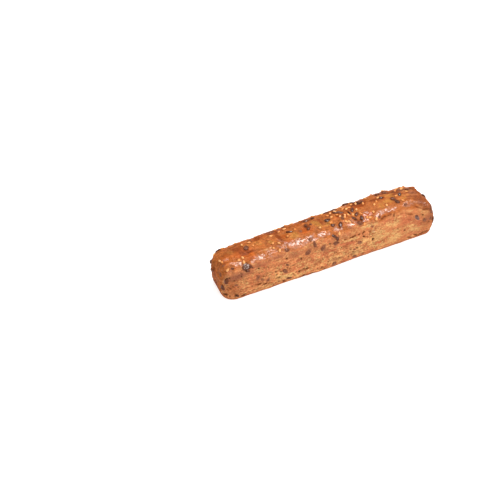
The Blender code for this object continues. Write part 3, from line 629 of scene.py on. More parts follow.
class Stick:
    """Smooth form of the stick in millimetres, with lengths along the skin that follow from its sizes."""

    def __init__(self, sizes):
        self.length = sizes.length / MM
        self.width = sizes.width / MM
        self.height = sizes.height / MM
        self.end_round = sizes.end_round / MM
        self.shoulder = sizes.shoulder_round / MM
        self.base_round = sizes.base_round / MM
        self.crown = sizes.crown / MM
        self.bulge = sizes.side_bulge / MM
        self.face = self.width / 2 - self.end_round
        self.along = self.length - 2 * self.end_round + 2 * (self.face + QUARTER * self.end_round)
        self.flat_base = self.width / 2 - self.base_round
        self.wall = self.height - self.base_round - self.shoulder
        self.flat_top = self.width / 2 - self.shoulder
        self.wall_from = self.flat_top + QUARTER * self.shoulder
        self.base_edge = self.wall_from + self.wall + QUARTER * self.base_round
        self.half_round = self.base_edge + self.flat_base

    def section(self, across):
        """Half width and height of the section: flat top, arc of the shoulder, wall, small arc, flat base.

        The distance left to the middle of the base is spent on each stretch in turn, and an arc adds the
        sine and the cosine of its share of a quarter turn. A crown lifts the middle of the top by a
        parabola, and half a sine wave over the height pushes the wall out.
        """
        left = self.half_round - np.abs(across)
        base = np.minimum(left, self.flat_base)
        low = np.clip((left - self.flat_base) / self.base_round, 0, QUARTER)
        left = left - self.flat_base - QUARTER * self.base_round
        wall = np.clip(left, 0, self.wall)
        turned = np.clip((left - self.wall) / self.shoulder, 0, QUARTER)
        top = np.maximum(left - self.wall - QUARTER * self.shoulder, 0)
        wide = base + self.base_round * np.sin(low) - self.shoulder * (1 - np.cos(turned)) - top
        high = self.base_round * (1 - np.cos(low)) + wall + self.shoulder * np.sin(turned)
        high = high + self.crown * (1 - (2 * wide / self.width) ** 2) * (high / self.height) ** 3
        wide = wide + self.bulge * np.sin(np.pi * np.clip(high / self.height, 0, 1)) * (low > 0)
        return wide, high

    def smooth(self, along, across):
        """Points of the skin without relief: the section carried along X and drawn in round each end.

        Near an end the section is scaled towards a point at its middle by the sine of an arc, while X moves
        by its cosine. A linear taper widens it towards +X, and a shear that fades with the distance from
        each end gives the ends their skew and lean. The foot of the -X end stands out a little by a bell
        curve, and most at its corner on the -Y side.
        """
        near = np.minimum(along, self.along - along)
        turned = np.clip((near - self.face) / self.end_round, 0, QUARTER)
        size = (np.minimum(near, self.face) + self.end_round * np.sin(turned)) / (self.width / 2)
        flat = np.maximum(near - self.face - QUARTER * self.end_round, 0)
        inward = self.end_round * (1 - np.cos(turned)) + flat
        x = np.where(along < self.along / 2, inward, self.length - inward) - self.length / 2
        wide, high = self.section(across)
        taper = np.clip(2 * x / self.length, -1, 1)
        y = -np.sign(across) * wide * size * (1 + WIDER_AT_FAR_END * taper)
        middle = END_MIDDLE * self.height
        z = (middle + size * (high - middle)) * (1 + HIGHER_AT_FAR_END * taper)
        from_near, from_far = x + self.length / 2, x - self.length / 2
        at_near = np.exp(-((from_near / END_REACH) ** 2))
        at_far = np.exp(-((from_far / END_REACH) ** 2))
        low = np.clip(1 - z / FLARE_REACH, 0, 1) ** 2
        foot = NEAR_END_FLARE * low * np.exp(-((from_near / FLARE_REACH) ** 2))
        corner = CORNER_FLARE * low * np.exp(-(((from_near - CORNER_PLACE) / CORNER_REACH) ** 2))
        corner = corner * np.clip(-2 * y / self.width, 0, 1) ** 2
        x = x - foot - corner
        y = y + CORNER_DRAWN_IN * corner
        x = x + y * (NEAR_END_SKEW * at_near + FAR_END_SKEW * at_far)
        x = x + NEAR_END_LEAN * (z / self.height - 0.5) * at_near
        return np.stack([x, y, z], -1)

    def directions(self, along, across):
        """Unit vectors along the skin and out of it, from differences over a short step each way."""
        along = np.clip(along, 2 * SLOPE_STEP, self.along - 2 * SLOPE_STEP)
        ahead = self.smooth(along + SLOPE_STEP, across) - self.smooth(along - SLOPE_STEP, across)
        round_it = self.smooth(along, across + SLOPE_STEP) - self.smooth(along, across - SLOPE_STEP)
        return unit(ahead), unit(np.cross(round_it, ahead))


def unit(vectors):
    """Vectors scaled to length 1."""
    return vectors / np.linalg.norm(vectors, axis=-1, keepdims=True)


def lattice(cells, seed):
    """A repeatable number from -1 to 1 for every whole-numbered lattice point."""
    mixed = cells.astype(np.int64) @ np.array(SCATTER_CELLS) + seed * SCATTER_FIELDS
    for shift, factor in SCATTER_AGAIN:
        mixed = ((mixed ^ (mixed >> shift)) * factor) & KEPT_BITS
    return mixed / (KEPT_BITS // 2) - 1


def noise(points, name):
    """Smooth random field from -1 to 1: lattice numbers blended between the eight corners of each cell."""
    size, seed = NOISES[name]
    scaled = points / np.asarray(size)
    low = np.floor(scaled)
    part = scaled - low
    part = part * part * (3 - 2 * part)
    total = np.zeros(points.shape[:-1])
    for corner in np.ndindex(2, 2, 2):
        weight = np.prod(np.where(corner, part, 1 - part), axis=-1)
        total += weight * lattice(low + corner, seed)
    return total


def ramp(value, low, high):
    """Rises from 0 to 1 between two values, by 3t² - 2t³."""
    t = np.clip((value - low) / (high - low), 0, 1)
    return t * t * (3 - 2 * t)


def caps(along, across, patches, power=CAP_POWER):
    """Sum of ovals: each is its strength times (1 - r²) to a power, out to its edge at r = 1."""
    total = np.zeros_like(along)
    for at_along, at_across, reach_along, reach_across, strength in patches:
        far = ((along - at_along) / reach_along) ** 2 + ((across - at_across) / reach_across) ** 2
        total += strength * np.clip(1 - far, 0, 1) ** power
    return total


def cuts(along, across, bend, slits):
    """Depth of narrow cuts: a bell curve over the distance from a line that bends, fading at its ends."""
    deepest = np.zeros_like(along)
    for a1, c1, a2, c2, width, depth in slits:
        run = math.hypot(a2 - a1, c2 - c1)
        part = ((along - a1) * (a2 - a1) + (across - c1) * (c2 - c1)) / run
        aside = ((across - c1) * (a2 - a1) - (along - a1) * (c2 - c1)) / run + bend
        fade = ramp(part, *CUT_FADE) * ramp(run - part, *CUT_FADE)
        deepest = np.maximum(deepest, depth * fade * np.exp(-((aside / width) ** 2)))
    return deepest


def on_both_sides(stick, features):
    """The features, and those of the seen wall again on the other wall, turned end for end."""
    turned = []
    for feature in features:
        if feature[1] > REPEATED_FROM:
            if len(feature) == 6:
                a1, c1, a2, c2, width, depth = feature
                turned.append((stick.along - a1, -c1, stick.along - a2, -c2, width, depth))
            else:
                turned.append((stick.along - feature[0], -feature[1], *feature[2:]))
    return tuple(features) + tuple(turned)


def drawn_pores(stick, chance):
    """Small pores at random places of both walls: place along and across, reach along and across, depth."""
    count = 2 * DRAWN_PORES
    room = stick.along - 2 * PORES_FROM_END
    along = PORES_FROM_END + room * chance.random(count) ** CROWD_AT_NEAR_END
    across = chance.uniform(*PORES_ACROSS, count)
    across[count // 2:] *= -1
    size = PORE_SIZE + PORE_SIZE_MORE * chance.random(count) ** 2
    long_way = size * chance.uniform(*PORE_LENGTH, count)
    return np.stack([along, across, long_way, size, PORE_DEPTH + size], -1)


def layers(points, out):
    """Ledges of the rolled dough on steep skin: sine waves up the wall that drift along the stick."""
    drift = LAYER_DRIFT * noise(points, "layer drift")
    wave = np.sin(2 * np.pi * (points[..., 2] + drift) / LAYER_PITCH)
    steep = np.clip(1 - LAYER_SLOPE * np.abs(out[..., 2]), 0, 1)
    strength = LAYER_STRENGTH[0] + LAYER_STRENGTH[1] * noise(points, "layer fields")
    return LAYER_DEPTH * wave * steep * strength


def thin_layers(points, steep):
    """Edges of thin sheets of dough: a steep-sided wave up the wall, its phase shifted by slow noise."""
    drift = THIN_LAYER_DRIFT * noise(points, "thin layer drift")
    phase = 2 * np.pi * (points[..., 2] + drift) / THIN_LAYER_PITCH
    wave = np.sin(phase + THIN_LAYER_EDGE * np.sin(phase))
    return THIN_LAYER_DEPTH * wave * steep * ramp(noise(points, "thin layer fields"), *THIN_LAYER_FIELDS)


def fine_relief(points, steep, glazed):
    """Relief under three millimetres: puckers, creased wrinkles and beads on the glaze, strands on walls.

    The wrinkles are a noise without its sign, which gives rounded cells parted by sharp creases.
    """
    height = PUCKERS * noise(points, "puckers") + BEADS * noise(points, "beads")
    height = height + WRINKLES * (np.abs(noise(points, "wrinkles")) - CREASE_LEVEL) * glazed
    strands = STRANDS * noise(points, "strands") + FINE_STRANDS * noise(points, "fine strands")
    return height + strands * steep + thin_layers(points, steep)


def end_folds(along, across):
    """Folds that run together at the far top corner, from -1 to 1.

    They are sine waves over the angle at which the corner sees a place, swayed by a slower sine wave, and
    they fade near the corner, far from it and towards the walls.
    """
    away = FOLD_CORNER[0] - along
    seen_at = np.arctan2(across - FOLD_CORNER[1], away)
    sway = FOLD_SWAY * np.sin(FOLD_SWAYS * seen_at + FOLD_SWAY_ALONG * along)
    fade = ramp(away, *FOLDS_START) * ramp(FOLDS_END - away, 0.0, FOLDS_END_FADE)
    fade = fade * ramp(FOLDS_HALF_WIDTH - np.abs(across), 0.0, FOLDS_SIDE_FADE)
    return np.sin(FOLDS * seen_at + sway) * fade


def rough_relief(stick, along, across):
    """Skin points, outward directions and the height of the relief that the packed solid has too."""
    points = stick.smooth(along, across)
    _, out = stick.directions(along, across)
    height = LUMPS * noise(points, "lumps") + SMALL_LUMPS * noise(points, "small lumps")
    height = height + caps(along, across, SWELLINGS) + layers(points, out)
    return points, out, height


def above_base(stick, across):
    """1 over the skin, falling to 0 at the edge of the flat base."""
    return np.clip((stick.base_edge - np.abs(across)) / BASE_FADE, 0, 1)


def glaze_cover(points, along, across, end):
    """1 where the crust is glazed and 0 on the walls: a soft edge at a distance that wavers by two noises.

    The edge lies further out round the ends, most at the -X end, and the glaze is thinner near the +X end.
    """
    edge = GLAZE_EDGE + GLAZE_WAVER * noise(points, "glaze edge")
    edge = edge + GLAZE_FRAY * noise(points, "frayed edge") + GLAZE_OVER_ENDS * end
    edge = edge + GLAZE_OVER_NEAR_END * ramp(NEAR_END_RUN - along, 0.0, NEAR_END_RUN / 2)
    return ramp(edge - np.abs(across), *GLAZE_SOFTNESS) * (1 - DULL_SHARE * ramp(along, *DULL_AT_FAR_END))


def seed_beds(along, across, seeds, size):
    """Bed of the crust under the seeds, the narrow ring of painted shade round each and the stain of those
    that dough veils.

    All go by the distance in seed radii. The bed is 1 under a seed, less where dough veils it, and fades
    outwards by the fourth power in a bell curve; the ring is a bell curve just outside the seed's edge;
    the stain fills the seed's outline with a steep edge, and grows with the veil.
    """
    bed, ring, stain = (np.zeros_like(along) for _ in range(3))
    for at_along, at_across, turn, long_share, wide_share, veil in seeds:
        da, dc = along - at_along, across - at_across
        ca, sa = math.cos(turn), math.sin(turn)
        long_way = (da * ca + dc * sa) / (0.5 * size[0] * long_share)
        short_way = (dc * ca - da * sa) / (0.5 * size[1] * wide_share)
        far = np.sqrt(long_way ** 2 + short_way ** 2)
        bed = np.maximum(bed, (1 - VEILED_BED * veil) * np.exp(-((far / BED_REACH) ** 4)))
        ring = np.maximum(ring, np.exp(-(((far - RING_AT) / RING_WIDTH) ** 2)))
        stain = np.maximum(stain, min(STAIN_BY_VEIL * veil, 1.0) * np.exp(-((far / STAIN_REACH) ** 6)))
    return bed, ring, stain


def hollows(points, across, steep, cut, pore):
    """How dark the painted shade in the hollows is, from 0 to 1: in deep cuts, in pores, and in flecks
    drawn on the walls.

    The flecks are where the product of a fine and a coarse noise is high, more so low on the wall.
    """
    flecks = np.clip(noise(points, "flecks") * noise(points, "fleck fields") - FLECK_FROM, 0, 1)
    low_wall = np.exp(-(((np.abs(across) - LOW_WALL) / LOW_WALL_REACH) ** 2))
    dark = HOLLOW_BY_CUT * (cut - SHALLOW_CUT) + HOLLOW_BY_PORE * pore
    return np.clip(dark + HOLLOW_BY_FLECK * flecks * steep * (1 + low_wall), 0, 1)


def crust_surface(stick, along, across, seeds, sizes, chance):
    """Points of the crust and its painted masks over a grid of places.

    The smooth skin moves out along its normal by the sum of its relief: lumps, blisters and ledges as in
    the packed solid, then noise at finer sizes, thin layers, folds, cuts, pores and the seeds' beds.
    """
    points, out, height = rough_relief(stick, along, across)
    steep = ramp(1 - np.abs(out[..., 2]), *STEEP)
    end = ramp(np.abs(2 * along / stick.along - 1), *END_SHARE)
    calm = ramp(along, *CALM)
    glazed = glaze_cover(points, along, across, end)
    folds = end_folds(along, across)
    linseed_bed, linseed_ring_shade, stain = seed_beds(along, across, seeds["linseed"], sizes["linseed"])
    sesame_bed, sesame_ring_shade, _ = seed_beds(along, across, seeds["sesame"], sizes["sesame"])
    bed = np.maximum(linseed_bed, SESAME_BED * sesame_bed)
    fine = fine_relief(points, steep, glazed) * (1 - CALM_RELIEF * calm) + FOLD_DEPTH * folds
    fine = fine * (1 - BED_SMOOTHS * bed)

    bend = BEND * noise(points, "bend") + FINE_BEND * noise(points, "fine bend")
    cut = cuts(along, across, bend, on_both_sides(stick, SLITS))
    ridge = cuts(along, across, bend, on_both_sides(stick, RIDGES))
    glint = cuts(along, across, GLINT_BEND * bend, on_both_sides(stick, GLINTS))
    holes = np.concatenate([np.array(on_both_sides(stick, PORES)), drawn_pores(stick, chance)])
    pore = caps(along, across, holes * (1, 1, PORE_SPREAD, PORE_SPREAD, 1), PORE_POWER)
    height = height + fine + ridge + BED_RISE * bed - cut - np.minimum(pore, DEEPEST_PORE)

    masks = {}
    for name, patches in PATCHES.items():
        power = FULL_PATCH_POWER if name in FULL_PATCHES else CAP_POWER
        masks[name] = caps(along, across, on_both_sides(stick, patches), power)
    # Parts of the relief that tint the crust: cuts and the rings round seeds add painted shade, and the rim
    # adds a baked band with painted contact shade
    parts = {
        "patchy": noise(points, "patchy"),
        "rings": np.maximum(sesame_ring_shade, LINSEED_RING_SHADE * linseed_ring_shade) * glazed,
        "folds": folds,
        "rim": ramp(np.abs(across), stick.base_edge - RIM[0], stick.base_edge - RIM[1]),
        "cut": cut,
        "ridge": ridge,
        "pale bands": noise(points, "pale bands"),
        "ruddy bands": noise(points, "ruddy bands"),
    }
    for name, shares in TINTED_BY.items():
        for part, share in shares.items():
            masks[name] = masks[name] + share * parts[part]
    gloss = THIN_GLOSS + THICK_GLOSS * masks.pop("thick glaze") + GLINT_GLOSS * glint
    masks["gloss"] = np.maximum(glazed, glint) * (1 - end) * gloss
    masks["glazed"] = glazed
    masks["calm"] = calm
    masks["stain"] = stain
    # Painted light and shade: lighter where the fine relief and the folds stand up, darker where they sink
    masks["fine"] = np.clip(fine / FULL_SHADED_RELIEF, -1, 1) + FOLDS_IN_SHADE * folds
    # Painted shade in cuts, pores and drawn flecks
    masks["hollow"] = hollows(points, across, steep, cut, pore)
    points = points + out * (height * above_base(stick, across))[..., None]
    return points - BOX_MIDDLE, masks


def stretches(*runs):
    """Positions from 0 on: each run is a length and the number of equal steps in it."""
    ends = np.cumsum([0.0] + [length for length, _ in runs])
    parts = [np.linspace(ends[i], ends[i + 1], count, endpoint=False) for i, (_, count) in enumerate(runs)]
    return np.concatenate(parts)


def tube_faces(rings, turns):
    """Faces of a closed tube: a fan at each pole and quads between rings.

    The points of the rings come first, ring after ring, then the near pole and the far pole.
    """
    here = np.arange(turns)
    ahead = np.roll(here, -1)
    near, far = rings * turns, rings * turns + 1
    last = (rings - 1) * turns
    near_fan = np.stack([np.full(turns, near), here, ahead], -1)
    far_fan = np.stack([np.full(turns, far), last + ahead, last + here], -1)
    first = np.arange(rings - 1)[:, None] * turns
    quads = np.stack([first + here, first + turns + here, first + turns + ahead, first + ahead], -1)
    return near_fan, far_fan, quads.reshape(-1, 4)


def fill_mesh(name, points, faces):
    """A smooth-shaded mesh in metres from points in millimetres."""
    mesh = bpy.data.meshes.new(name)
    mesh.from_pydata((points * MM).tolist(), [], faces)
    mesh.shade_smooth()
    return mesh


def paint(mesh, name, values):
    """Stores one number for each point of a mesh, which a material reads by name."""
    layer = mesh.attributes.new(name, "FLOAT", "POINT")
    layer.data.foreach_set("value", np.ascontiguousarray(values, dtype=np.float32))


def map_corners(*places):
    """Corners of faces on a map in one row, from how far along it and how far up it each corner lies."""
    return np.stack([np.stack(np.broadcast_arrays(*place), -1) for place in places], -2).ravel()


def bake_map(mesh, along, round_it, bands):
    """A UV map over the whole crust: the length runs across it, and each band of the section has a strip.

    Corners are listed in the order of the mesh's faces, so each face lies in the strip of its own band.
    """
    turns = len(round_it) - 1
    upper, lower = np.zeros(turns), np.zeros(turns)
    for first, last, bottom, top in bands:
        inside = np.arange(first, last)
        span = round_it[last] - round_it[first]
        lower[inside] = bottom + (top - bottom) * (round_it[inside] - round_it[first]) / span
        upper[inside] = bottom + (top - bottom) * (round_it[inside + 1] - round_it[first]) / span
    middle = (upper + lower) / 2
    run = MAP_MARGIN + (1 - 2 * MAP_MARGIN) * along / (along[-1] + along[0])
    start, end = run[:-1, None], run[1:, None]
    places = [
        map_corners((MAP_MARGIN, middle), (run[0], lower), (run[0], upper)),
        map_corners((1 - MAP_MARGIN, middle), (run[-1], upper), (run[-1], lower)),
        map_corners((start, lower), (end, lower), (end, upper), (start, upper)),
    ]
    layer = mesh.uv_layers.new(name="OFBake")
    layer.data.foreach_set("uv", np.concatenate(places).astype(np.float32))


def crust_mesh(stick, seeds, sizes, chance):
    """The crust's closed grid: rings of points round the section, and a point at the middle of each end."""
    end = ((stick.face, FACE_STEPS), (QUARTER * stick.end_round, END_STEPS))
    along = stretches(*end, (stick.length - 2 * stick.end_round, BODY_STEPS), *end[::-1])[1:]
    half = stretches(
        (stick.flat_top, TOP_STEPS),
        (QUARTER * stick.shoulder, SHOULDER_STEPS),
        (stick.wall, WALL_STEPS),
        (QUARTER * stick.base_round, BASE_ROUND_STEPS),
        (stick.flat_base, BASE_STEPS),
    )
    across = np.concatenate([half, [stick.half_round], -half[:0:-1]])
    grid = np.meshgrid(along, across, indexing="ij")
    rings, masks = crust_surface(stick, *grid, seeds, sizes, chance)
    ends = (np.array([0.0, stick.along]), np.zeros(2))
    poles, pole_masks = crust_surface(stick, *ends, seeds, sizes, chance)
    turns = len(across)
    near_fan, far_fan, quads = tube_faces(len(along), turns)
    points = np.concatenate([rings.reshape(-1, 3), poles])
    mesh = fill_mesh("crust", points, near_fan.tolist() + far_fan.tolist() + quads.tolist())
    for name in masks:
        paint(mesh, name, np.concatenate([masks[name].ravel(), pole_masks[name]]))
    round_it = np.concatenate([half, [stick.half_round], 2 * stick.half_round - half[::-1]])
    base_from = TOP_STEPS + SHOULDER_STEPS + WALL_STEPS + BASE_ROUND_STEPS
    bands = (
        (0, base_from, *FRONT_STRIP),
        (base_from, turns - base_from, *BASE_STRIP),
        (turns - base_from, turns, *BACK_STRIP),
    )
    bake_map(mesh, along, round_it, bands)
    return mesh


def seed_points(size, tip, flat):
    """Points of one seed lying along X: rings, then its two poles.

    Along the length the half width is the square root of 1 - t², narrowed towards +X by the tip, so it ends
    blunt at -X and pointed at +X. Round each ring the height is the sine, sharpened towards a lens by flat.
    """
    t = -np.cos(np.linspace(0, np.pi, SEED_RINGS + 2))[1:-1, None]
    turn = np.linspace(0, 2 * np.pi, SEED_TURNS, endpoint=False)[None, :]
    full = np.sqrt(1 - t ** 2) * (1 - tip * (t + TIP_CURVE * t ** 2))
    x = 0.5 * size[0] * t * np.ones_like(turn)
    y = 0.5 * size[1] * full * np.cos(turn)
    z = 0.5 * size[2] * full * np.sin(turn) * (1 - flat * np.cos(turn) ** 2)
    rings = np.stack([x, y, z], -1).reshape(-1, 3)
    poles = np.array([(-0.5 * size[0], 0.0, 0.0), (0.5 * size[0], 0.0, 0.0)])
    return np.concatenate([rings, poles])


def seed_mesh(stick, name, seeds, size, form, chance):
    """All seeds of a kind in one mesh: one seed's points, scaled, turned and set down on the crust.

    A seed's height is the mean of the relief over five places of its footprint.
    """
    tip, flat, lift = form
    along, across, turn, long_share, wide_share, veil = np.array(seeds).T
    ahead, out = stick.directions(along, across)
    forward = np.cos(turn)[:, None] * ahead + np.sin(turn)[:, None] * np.cross(ahead, out)
    tilt = chance.normal(0, SEED_TILT, len(along))[:, None]
    forward = unit(forward + tilt * out)
    side = unit(np.cross(out, forward))
    above = np.cross(forward, side)
    height = np.zeros(len(along))
    for step_along, step_across in FOOTPRINT:
        points, _, rough = rough_relief(stick, along + step_along, across + step_across)
        relief = (rough + PUCKERS * noise(points, "puckers")) * above_base(stick, across)
        height += relief / len(FOOTPRINT)
    sunk = np.clip((np.abs(across) - stick.flat_top) / (stick.wall_from - stick.flat_top), 0, 1)
    height += lift - SUNK_IN_WALL * sunk - SUNK_BY_VEIL * veil * size[2]
    base = stick.smooth(along, across) + out * height[:, None]
    one = seed_points(size, tip, flat)
    thick = chance.uniform(*SEED_THICKNESS, len(along)) * (1 - THINNER_BY_VEIL * veil)
    shape = one[None] * np.stack([long_share, wide_share, thick], -1)[:, None]
    axes = np.stack([forward, side, above], 1)
    points = base[:, None] + shape @ axes - BOX_MIDDLE
    near_fan, far_fan, quads = tube_faces(SEED_RINGS, SEED_TURNS)
    each = np.arange(len(along))[:, None, None] * len(one)
    fans = (np.concatenate([near_fan, far_fan])[None] + each).reshape(-1, 3)
    sheets = (quads[None] + each).reshape(-1, 4)
    mesh = fill_mesh(name, points.reshape(-1, 3), fans.tolist() + sheets.tolist())
    paint(mesh, "tone", np.repeat(chance.random(len(along)), len(one)))
    paint(mesh, "veil", np.repeat(veil, len(one)))
    paint(mesh, "lengthwise", np.tile(one[:, 0] / size[0] + 0.5, len(along)))
    return mesh


def with_unseen(stick, kind, seen, size, chance):
    """Seeds as along, across, turn, length and width share and veil: the seen ones, then drawn ones."""
    places = [(seed[0], seed[1], math.radians(seed[2]), *seed[3:]) for seed in seen]
    unseen, start, down_the_back = UNSEEN[kind]
    wanted = len(places) + unseen
    while len(places) < wanted:
        along = chance.uniform(stick.end_round, stick.along - stick.end_round)
        across = -start - down_the_back * chance.random() ** CROWD_AT_TOP
        if min(math.hypot(along - seed[0], across - seed[1]) for seed in places) > size[0]:
            turn = chance.uniform(0, math.pi)
            places.append((along, across, turn, 1.0, 1.0, UNSEEN_VEIL * ramp(-across, *UNSEEN_VEIL_ACROSS)))
    return places


def lay_out_seeds(stick, seed_sizes):
    """Places of both kinds of seed and their sizes in millimetres, with one random draw for all."""
    chance = np.random.default_rng(seed_sizes.draw)
    seen = {"linseed": LINSEEDS, "sesame": [(*seed, 1.0, 1.0, 0.0) for seed in SESAME_SEEDS]}
    seeds, sizes = {}, {}
    for kind in seen:
        parts = ("length", "width", "thickness")
        sizes[kind] = tuple(getattr(seed_sizes, kind + "_" + part) / MM for part in parts)
        seeds[kind] = with_unseen(stick, kind, seen[kind], sizes[kind], chance)
    return seeds, sizes


class Value:
    """An output socket in arithmetic: an expression on values adds its Math nodes to the recipe."""

    def __init__(self, recipe, socket):
        self.recipe = recipe
        self.socket = socket

    def _math(self, operation, first, second=0.0, clamp=False):
        """The result of a Math node."""
        settings = {"operation": operation, "use_clamp": clamp}
        return self.recipe.add("ShaderNodeMath", settings, {0: first, 1: second})

    def __add__(self, other):
        return self._math("ADD", self, other)

    def __radd__(self, other):
        return self._math("ADD", other, self)

    def __sub__(self, other):
        return self._math("SUBTRACT", self, other)

    def __rsub__(self, other):
        return self._math("SUBTRACT", other, self)

    def __mul__(self, other):
        return self._math("MULTIPLY", self, other)

    def __rmul__(self, other):
        return self._math("MULTIPLY", other, self)

    def __pow__(self, other):
        return self._math("POWER", self, other)

    def clamped(self):
        """The value held between 0 and 1."""
        return self._math("ADD", self, 0.0, True)

    def between(self, low, high):
        """0 up to the low value and 1 from the high one, eased between them."""
        settings = {"interpolation_type": "SMOOTHSTEP"}
        sockets = {"Value": self, "From Min": low, "From Max": high}
        return self.recipe.add("ShaderNodeMapRange", settings, sockets)


class Recipe:
    """The nodes of one material."""

    def __init__(self, name):
        self.material = bpy.data.materials.new(name)
        self.material.use_nodes = True
        self.nodes = self.material.node_tree.nodes
        self.links = self.material.node_tree.links
        self.shader = self.nodes["Principled BSDF"]

    def add(self, kind, settings=None, sockets=None, output=0):
        """Adds a node, makes its settings, then fills its sockets with numbers, colours or links."""
        node = self.nodes.new(kind)
        for name, value in (settings or {}).items():
            setattr(node, name, value)
        self.fill(node, sockets or {})
        return Value(self, node.outputs[output])

    def fill(self, node, sockets):
        """Links or sets the sockets of a node, named or numbered."""
        for name, value in sockets.items():
            if isinstance(value, Value):
                self.links.new(value.socket, node.inputs[name])
            elif hasattr(value, "__len__") and node.inputs[name].type == "RGBA":
                node.inputs[name].default_value = (*tuple(value)[:3], 1.0)
            else:
                node.inputs[name].default_value = value

    def mask(self, name):
        """A number painted on the mesh."""
        return self.add("ShaderNodeAttribute", {"attribute_name": name}, output="Fac")

    def mix(self, first, second, factor, blend="MIX"):
        """A colour between two, by a factor that is held between 0 and 1."""
        settings = {"data_type": "RGBA", "blend_type": blend, "clamp_factor": True}
        return self.add("ShaderNodeMix", settings, {0: factor, 6: first, 7: second}, output=2)

    def grey(self, value):
        """A grey whose three parts are one value."""
        return self.add("ShaderNodeCombineXYZ", {}, {0: value, 1: value, 2: value})

    def speckle(self, name):
        """Noise about zero whose grains have a size in metres, drawn out by a stretch of each axis."""
        size, stretch, detail = SPECKLES[name]
        scale = tuple(1 / (size * share) for share in stretch)
        place = self.add("ShaderNodeTexCoord", output="Object")
        spread = self.add("ShaderNodeVectorMath", {"operation": "MULTIPLY"}, {0: place, 1: scale})
        sockets = {"Vector": spread, "Scale": 1.0, "Detail": detail, "Roughness": SPECKLE_ROUGHNESS}
        return self.add("ShaderNodeTexNoise", {}, sockets) - 0.5

    def bump(self, height, distance):
        """The normal of a surface that a height moves by a distance in metres."""
        return self.add("ShaderNodeBump", {}, {"Strength": 1.0, "Distance": distance, "Height": height})

    def finish(self, **sockets):
        """Fills the shader's sockets, where a name's underscores are spaces, and returns the material."""
        self.fill(self.shader, {name.replace("_", " "): value for name, value in sockets.items()})
        return self.material


def crust_material(colours):
    """Baked crust: glossy egg-washed top, matte layered sides, browned and paler patches, with painted
    shade, highlights and dark reflection.

    Each factor is a painted mask plus shares of the speckles, which break its edge up.
    """
    r = Recipe("baked crust")
    mottle, streak, tint, fleck, grain = map(r.speckle, ("mottle", "streak", "tint", "fleck", "grain"))
    glazed = r.mask("glazed")
    # Browning, with the painted shade of cuts and seed rings and the painted contact shade of the base's
    # rim
    browner = r.mask("browner")

    golden = (r.mask("golden") + 2.2 * mottle - 1.2 * tint).between(0.266, 0.866)
    amber = (r.mask("amber") + 1.2 * mottle - 0.8 * fleck).between(0.15, 1.0)
    browned = (1.2 * browner + 1.5 * mottle + fleck).between(0.1, 0.9)
    top = r.mix(colours.glaze, colours.golden, golden)
    top = r.mix(top, colours.amber, amber)
    top = r.mix(top, colours.deep, 0.85 * browned)

    lively = 1.0 - 0.35 * r.mask("calm")
    pale = (r.mask("pale") + 0.03 + lively * (2.0 * streak + 3.2 * tint + 0.04)).between(0.0, 1.0)
    ruddy = (r.mask("ruddy") + lively * (2.4 * mottle - streak - 2.6 * tint)).between(0.0, 1.0)
    side = r.mix(colours.dough, colours.pale, pale)
    side = r.mix(side, colours.ruddy, 0.85 * ruddy)
    side = r.mix(side, colours.toasted, (browner + 1.2 * streak).between(0.05, 1.1))
    crust = r.mix(side, top, glazed)

    # Painted dark reflection under the shoulder, and darker patches in its colour
    bloom = r.mask("bloom") * (0.9 + 2.0 * fleck)
    crust = r.mix(crust, colours.bloom, bloom.clamped())
    stain = r.mask("stain") * (1.0 + 2.5 * fleck)
    crust = r.mix(crust, colours.veil, 0.85 * stain.clamped())
    scorched = r.mask("scorched") * (1.0 + 2.5 * tint)
    crust = r.mix(crust, colours.scorched, scorched.between(0.1, 1.0))
    # Painted light and shade: the tone is lighter on raised fine relief and darker in its dips, and varies
    # at random by the speckles
    tone = 1.0 + lively * (1.4 * fleck + 1.5 * grain + 0.7 * streak + 0.2 * r.mask("fine"))
    crust = r.mix(crust, r.grey(tone), 1.0, "MULTIPLY")
    # Painted highlights: whitish flecks of shine
    ashen = r.mask("ashen") * (0.45 + 2.5 * fleck + 2.5 * grain)
    crust = r.mix(crust, colours.ashen, 0.8 * ashen.between(0.3, 0.9))
    # Painted shade in cuts, pores and drawn flecks
    crust = r.mix(crust, colours.hollow, (0.95 * r.mask("hollow")).clamped())

    streaked = (r.speckle("gleam") + 0.8 * fleck).between(-0.08, 0.12)
    return r.finish(
        **SURFACES["crust"],
        Base_Color=crust,
        Roughness=0.65 - 0.15 * glazed + 0.2 * grain,
        Coat_Weight=(r.mask("gloss") * (0.5 + 1.3 * streaked)).clamped(),
        Normal=r.bump(0.5 * grain + 0.5 * fleck, CRUST_BUMP),
    )


def linseed_material(colours):
    """Smooth dark seed skin with lighter grains, dulled where dough veils it."""
    r = Recipe("linseed skin")
    veil = r.mask("veil")
    grain = r.speckle("linseed grain")
    glint = r.speckle("linseed glint")
    lighter = (0.7 * r.mask("tone") + 1.6 * grain).clamped()
    skin = r.mix(colours.linseed, colours.linseed_light, lighter)
    skin = r.mix(skin, colours.veil, (veil * (1.25 + 3.0 * grain)).clamped())
    crumb = (veil + 4.0 * glint).between(0.7, 1.3)
    skin = r.mix(skin, colours.dough, 0.4 * crumb)
    unveiled = (0.5 - 4.0 * veil).clamped()
    return r.finish(
        **SURFACES["linseed"],
        Base_Color=skin,
        Roughness=0.5 + 0.2 * veil,
        Coat_Weight=(0.15 + 2.5 * glint - 0.5 * veil + unveiled).clamped(),
        Normal=r.bump(grain, SEED_BUMP),
    )


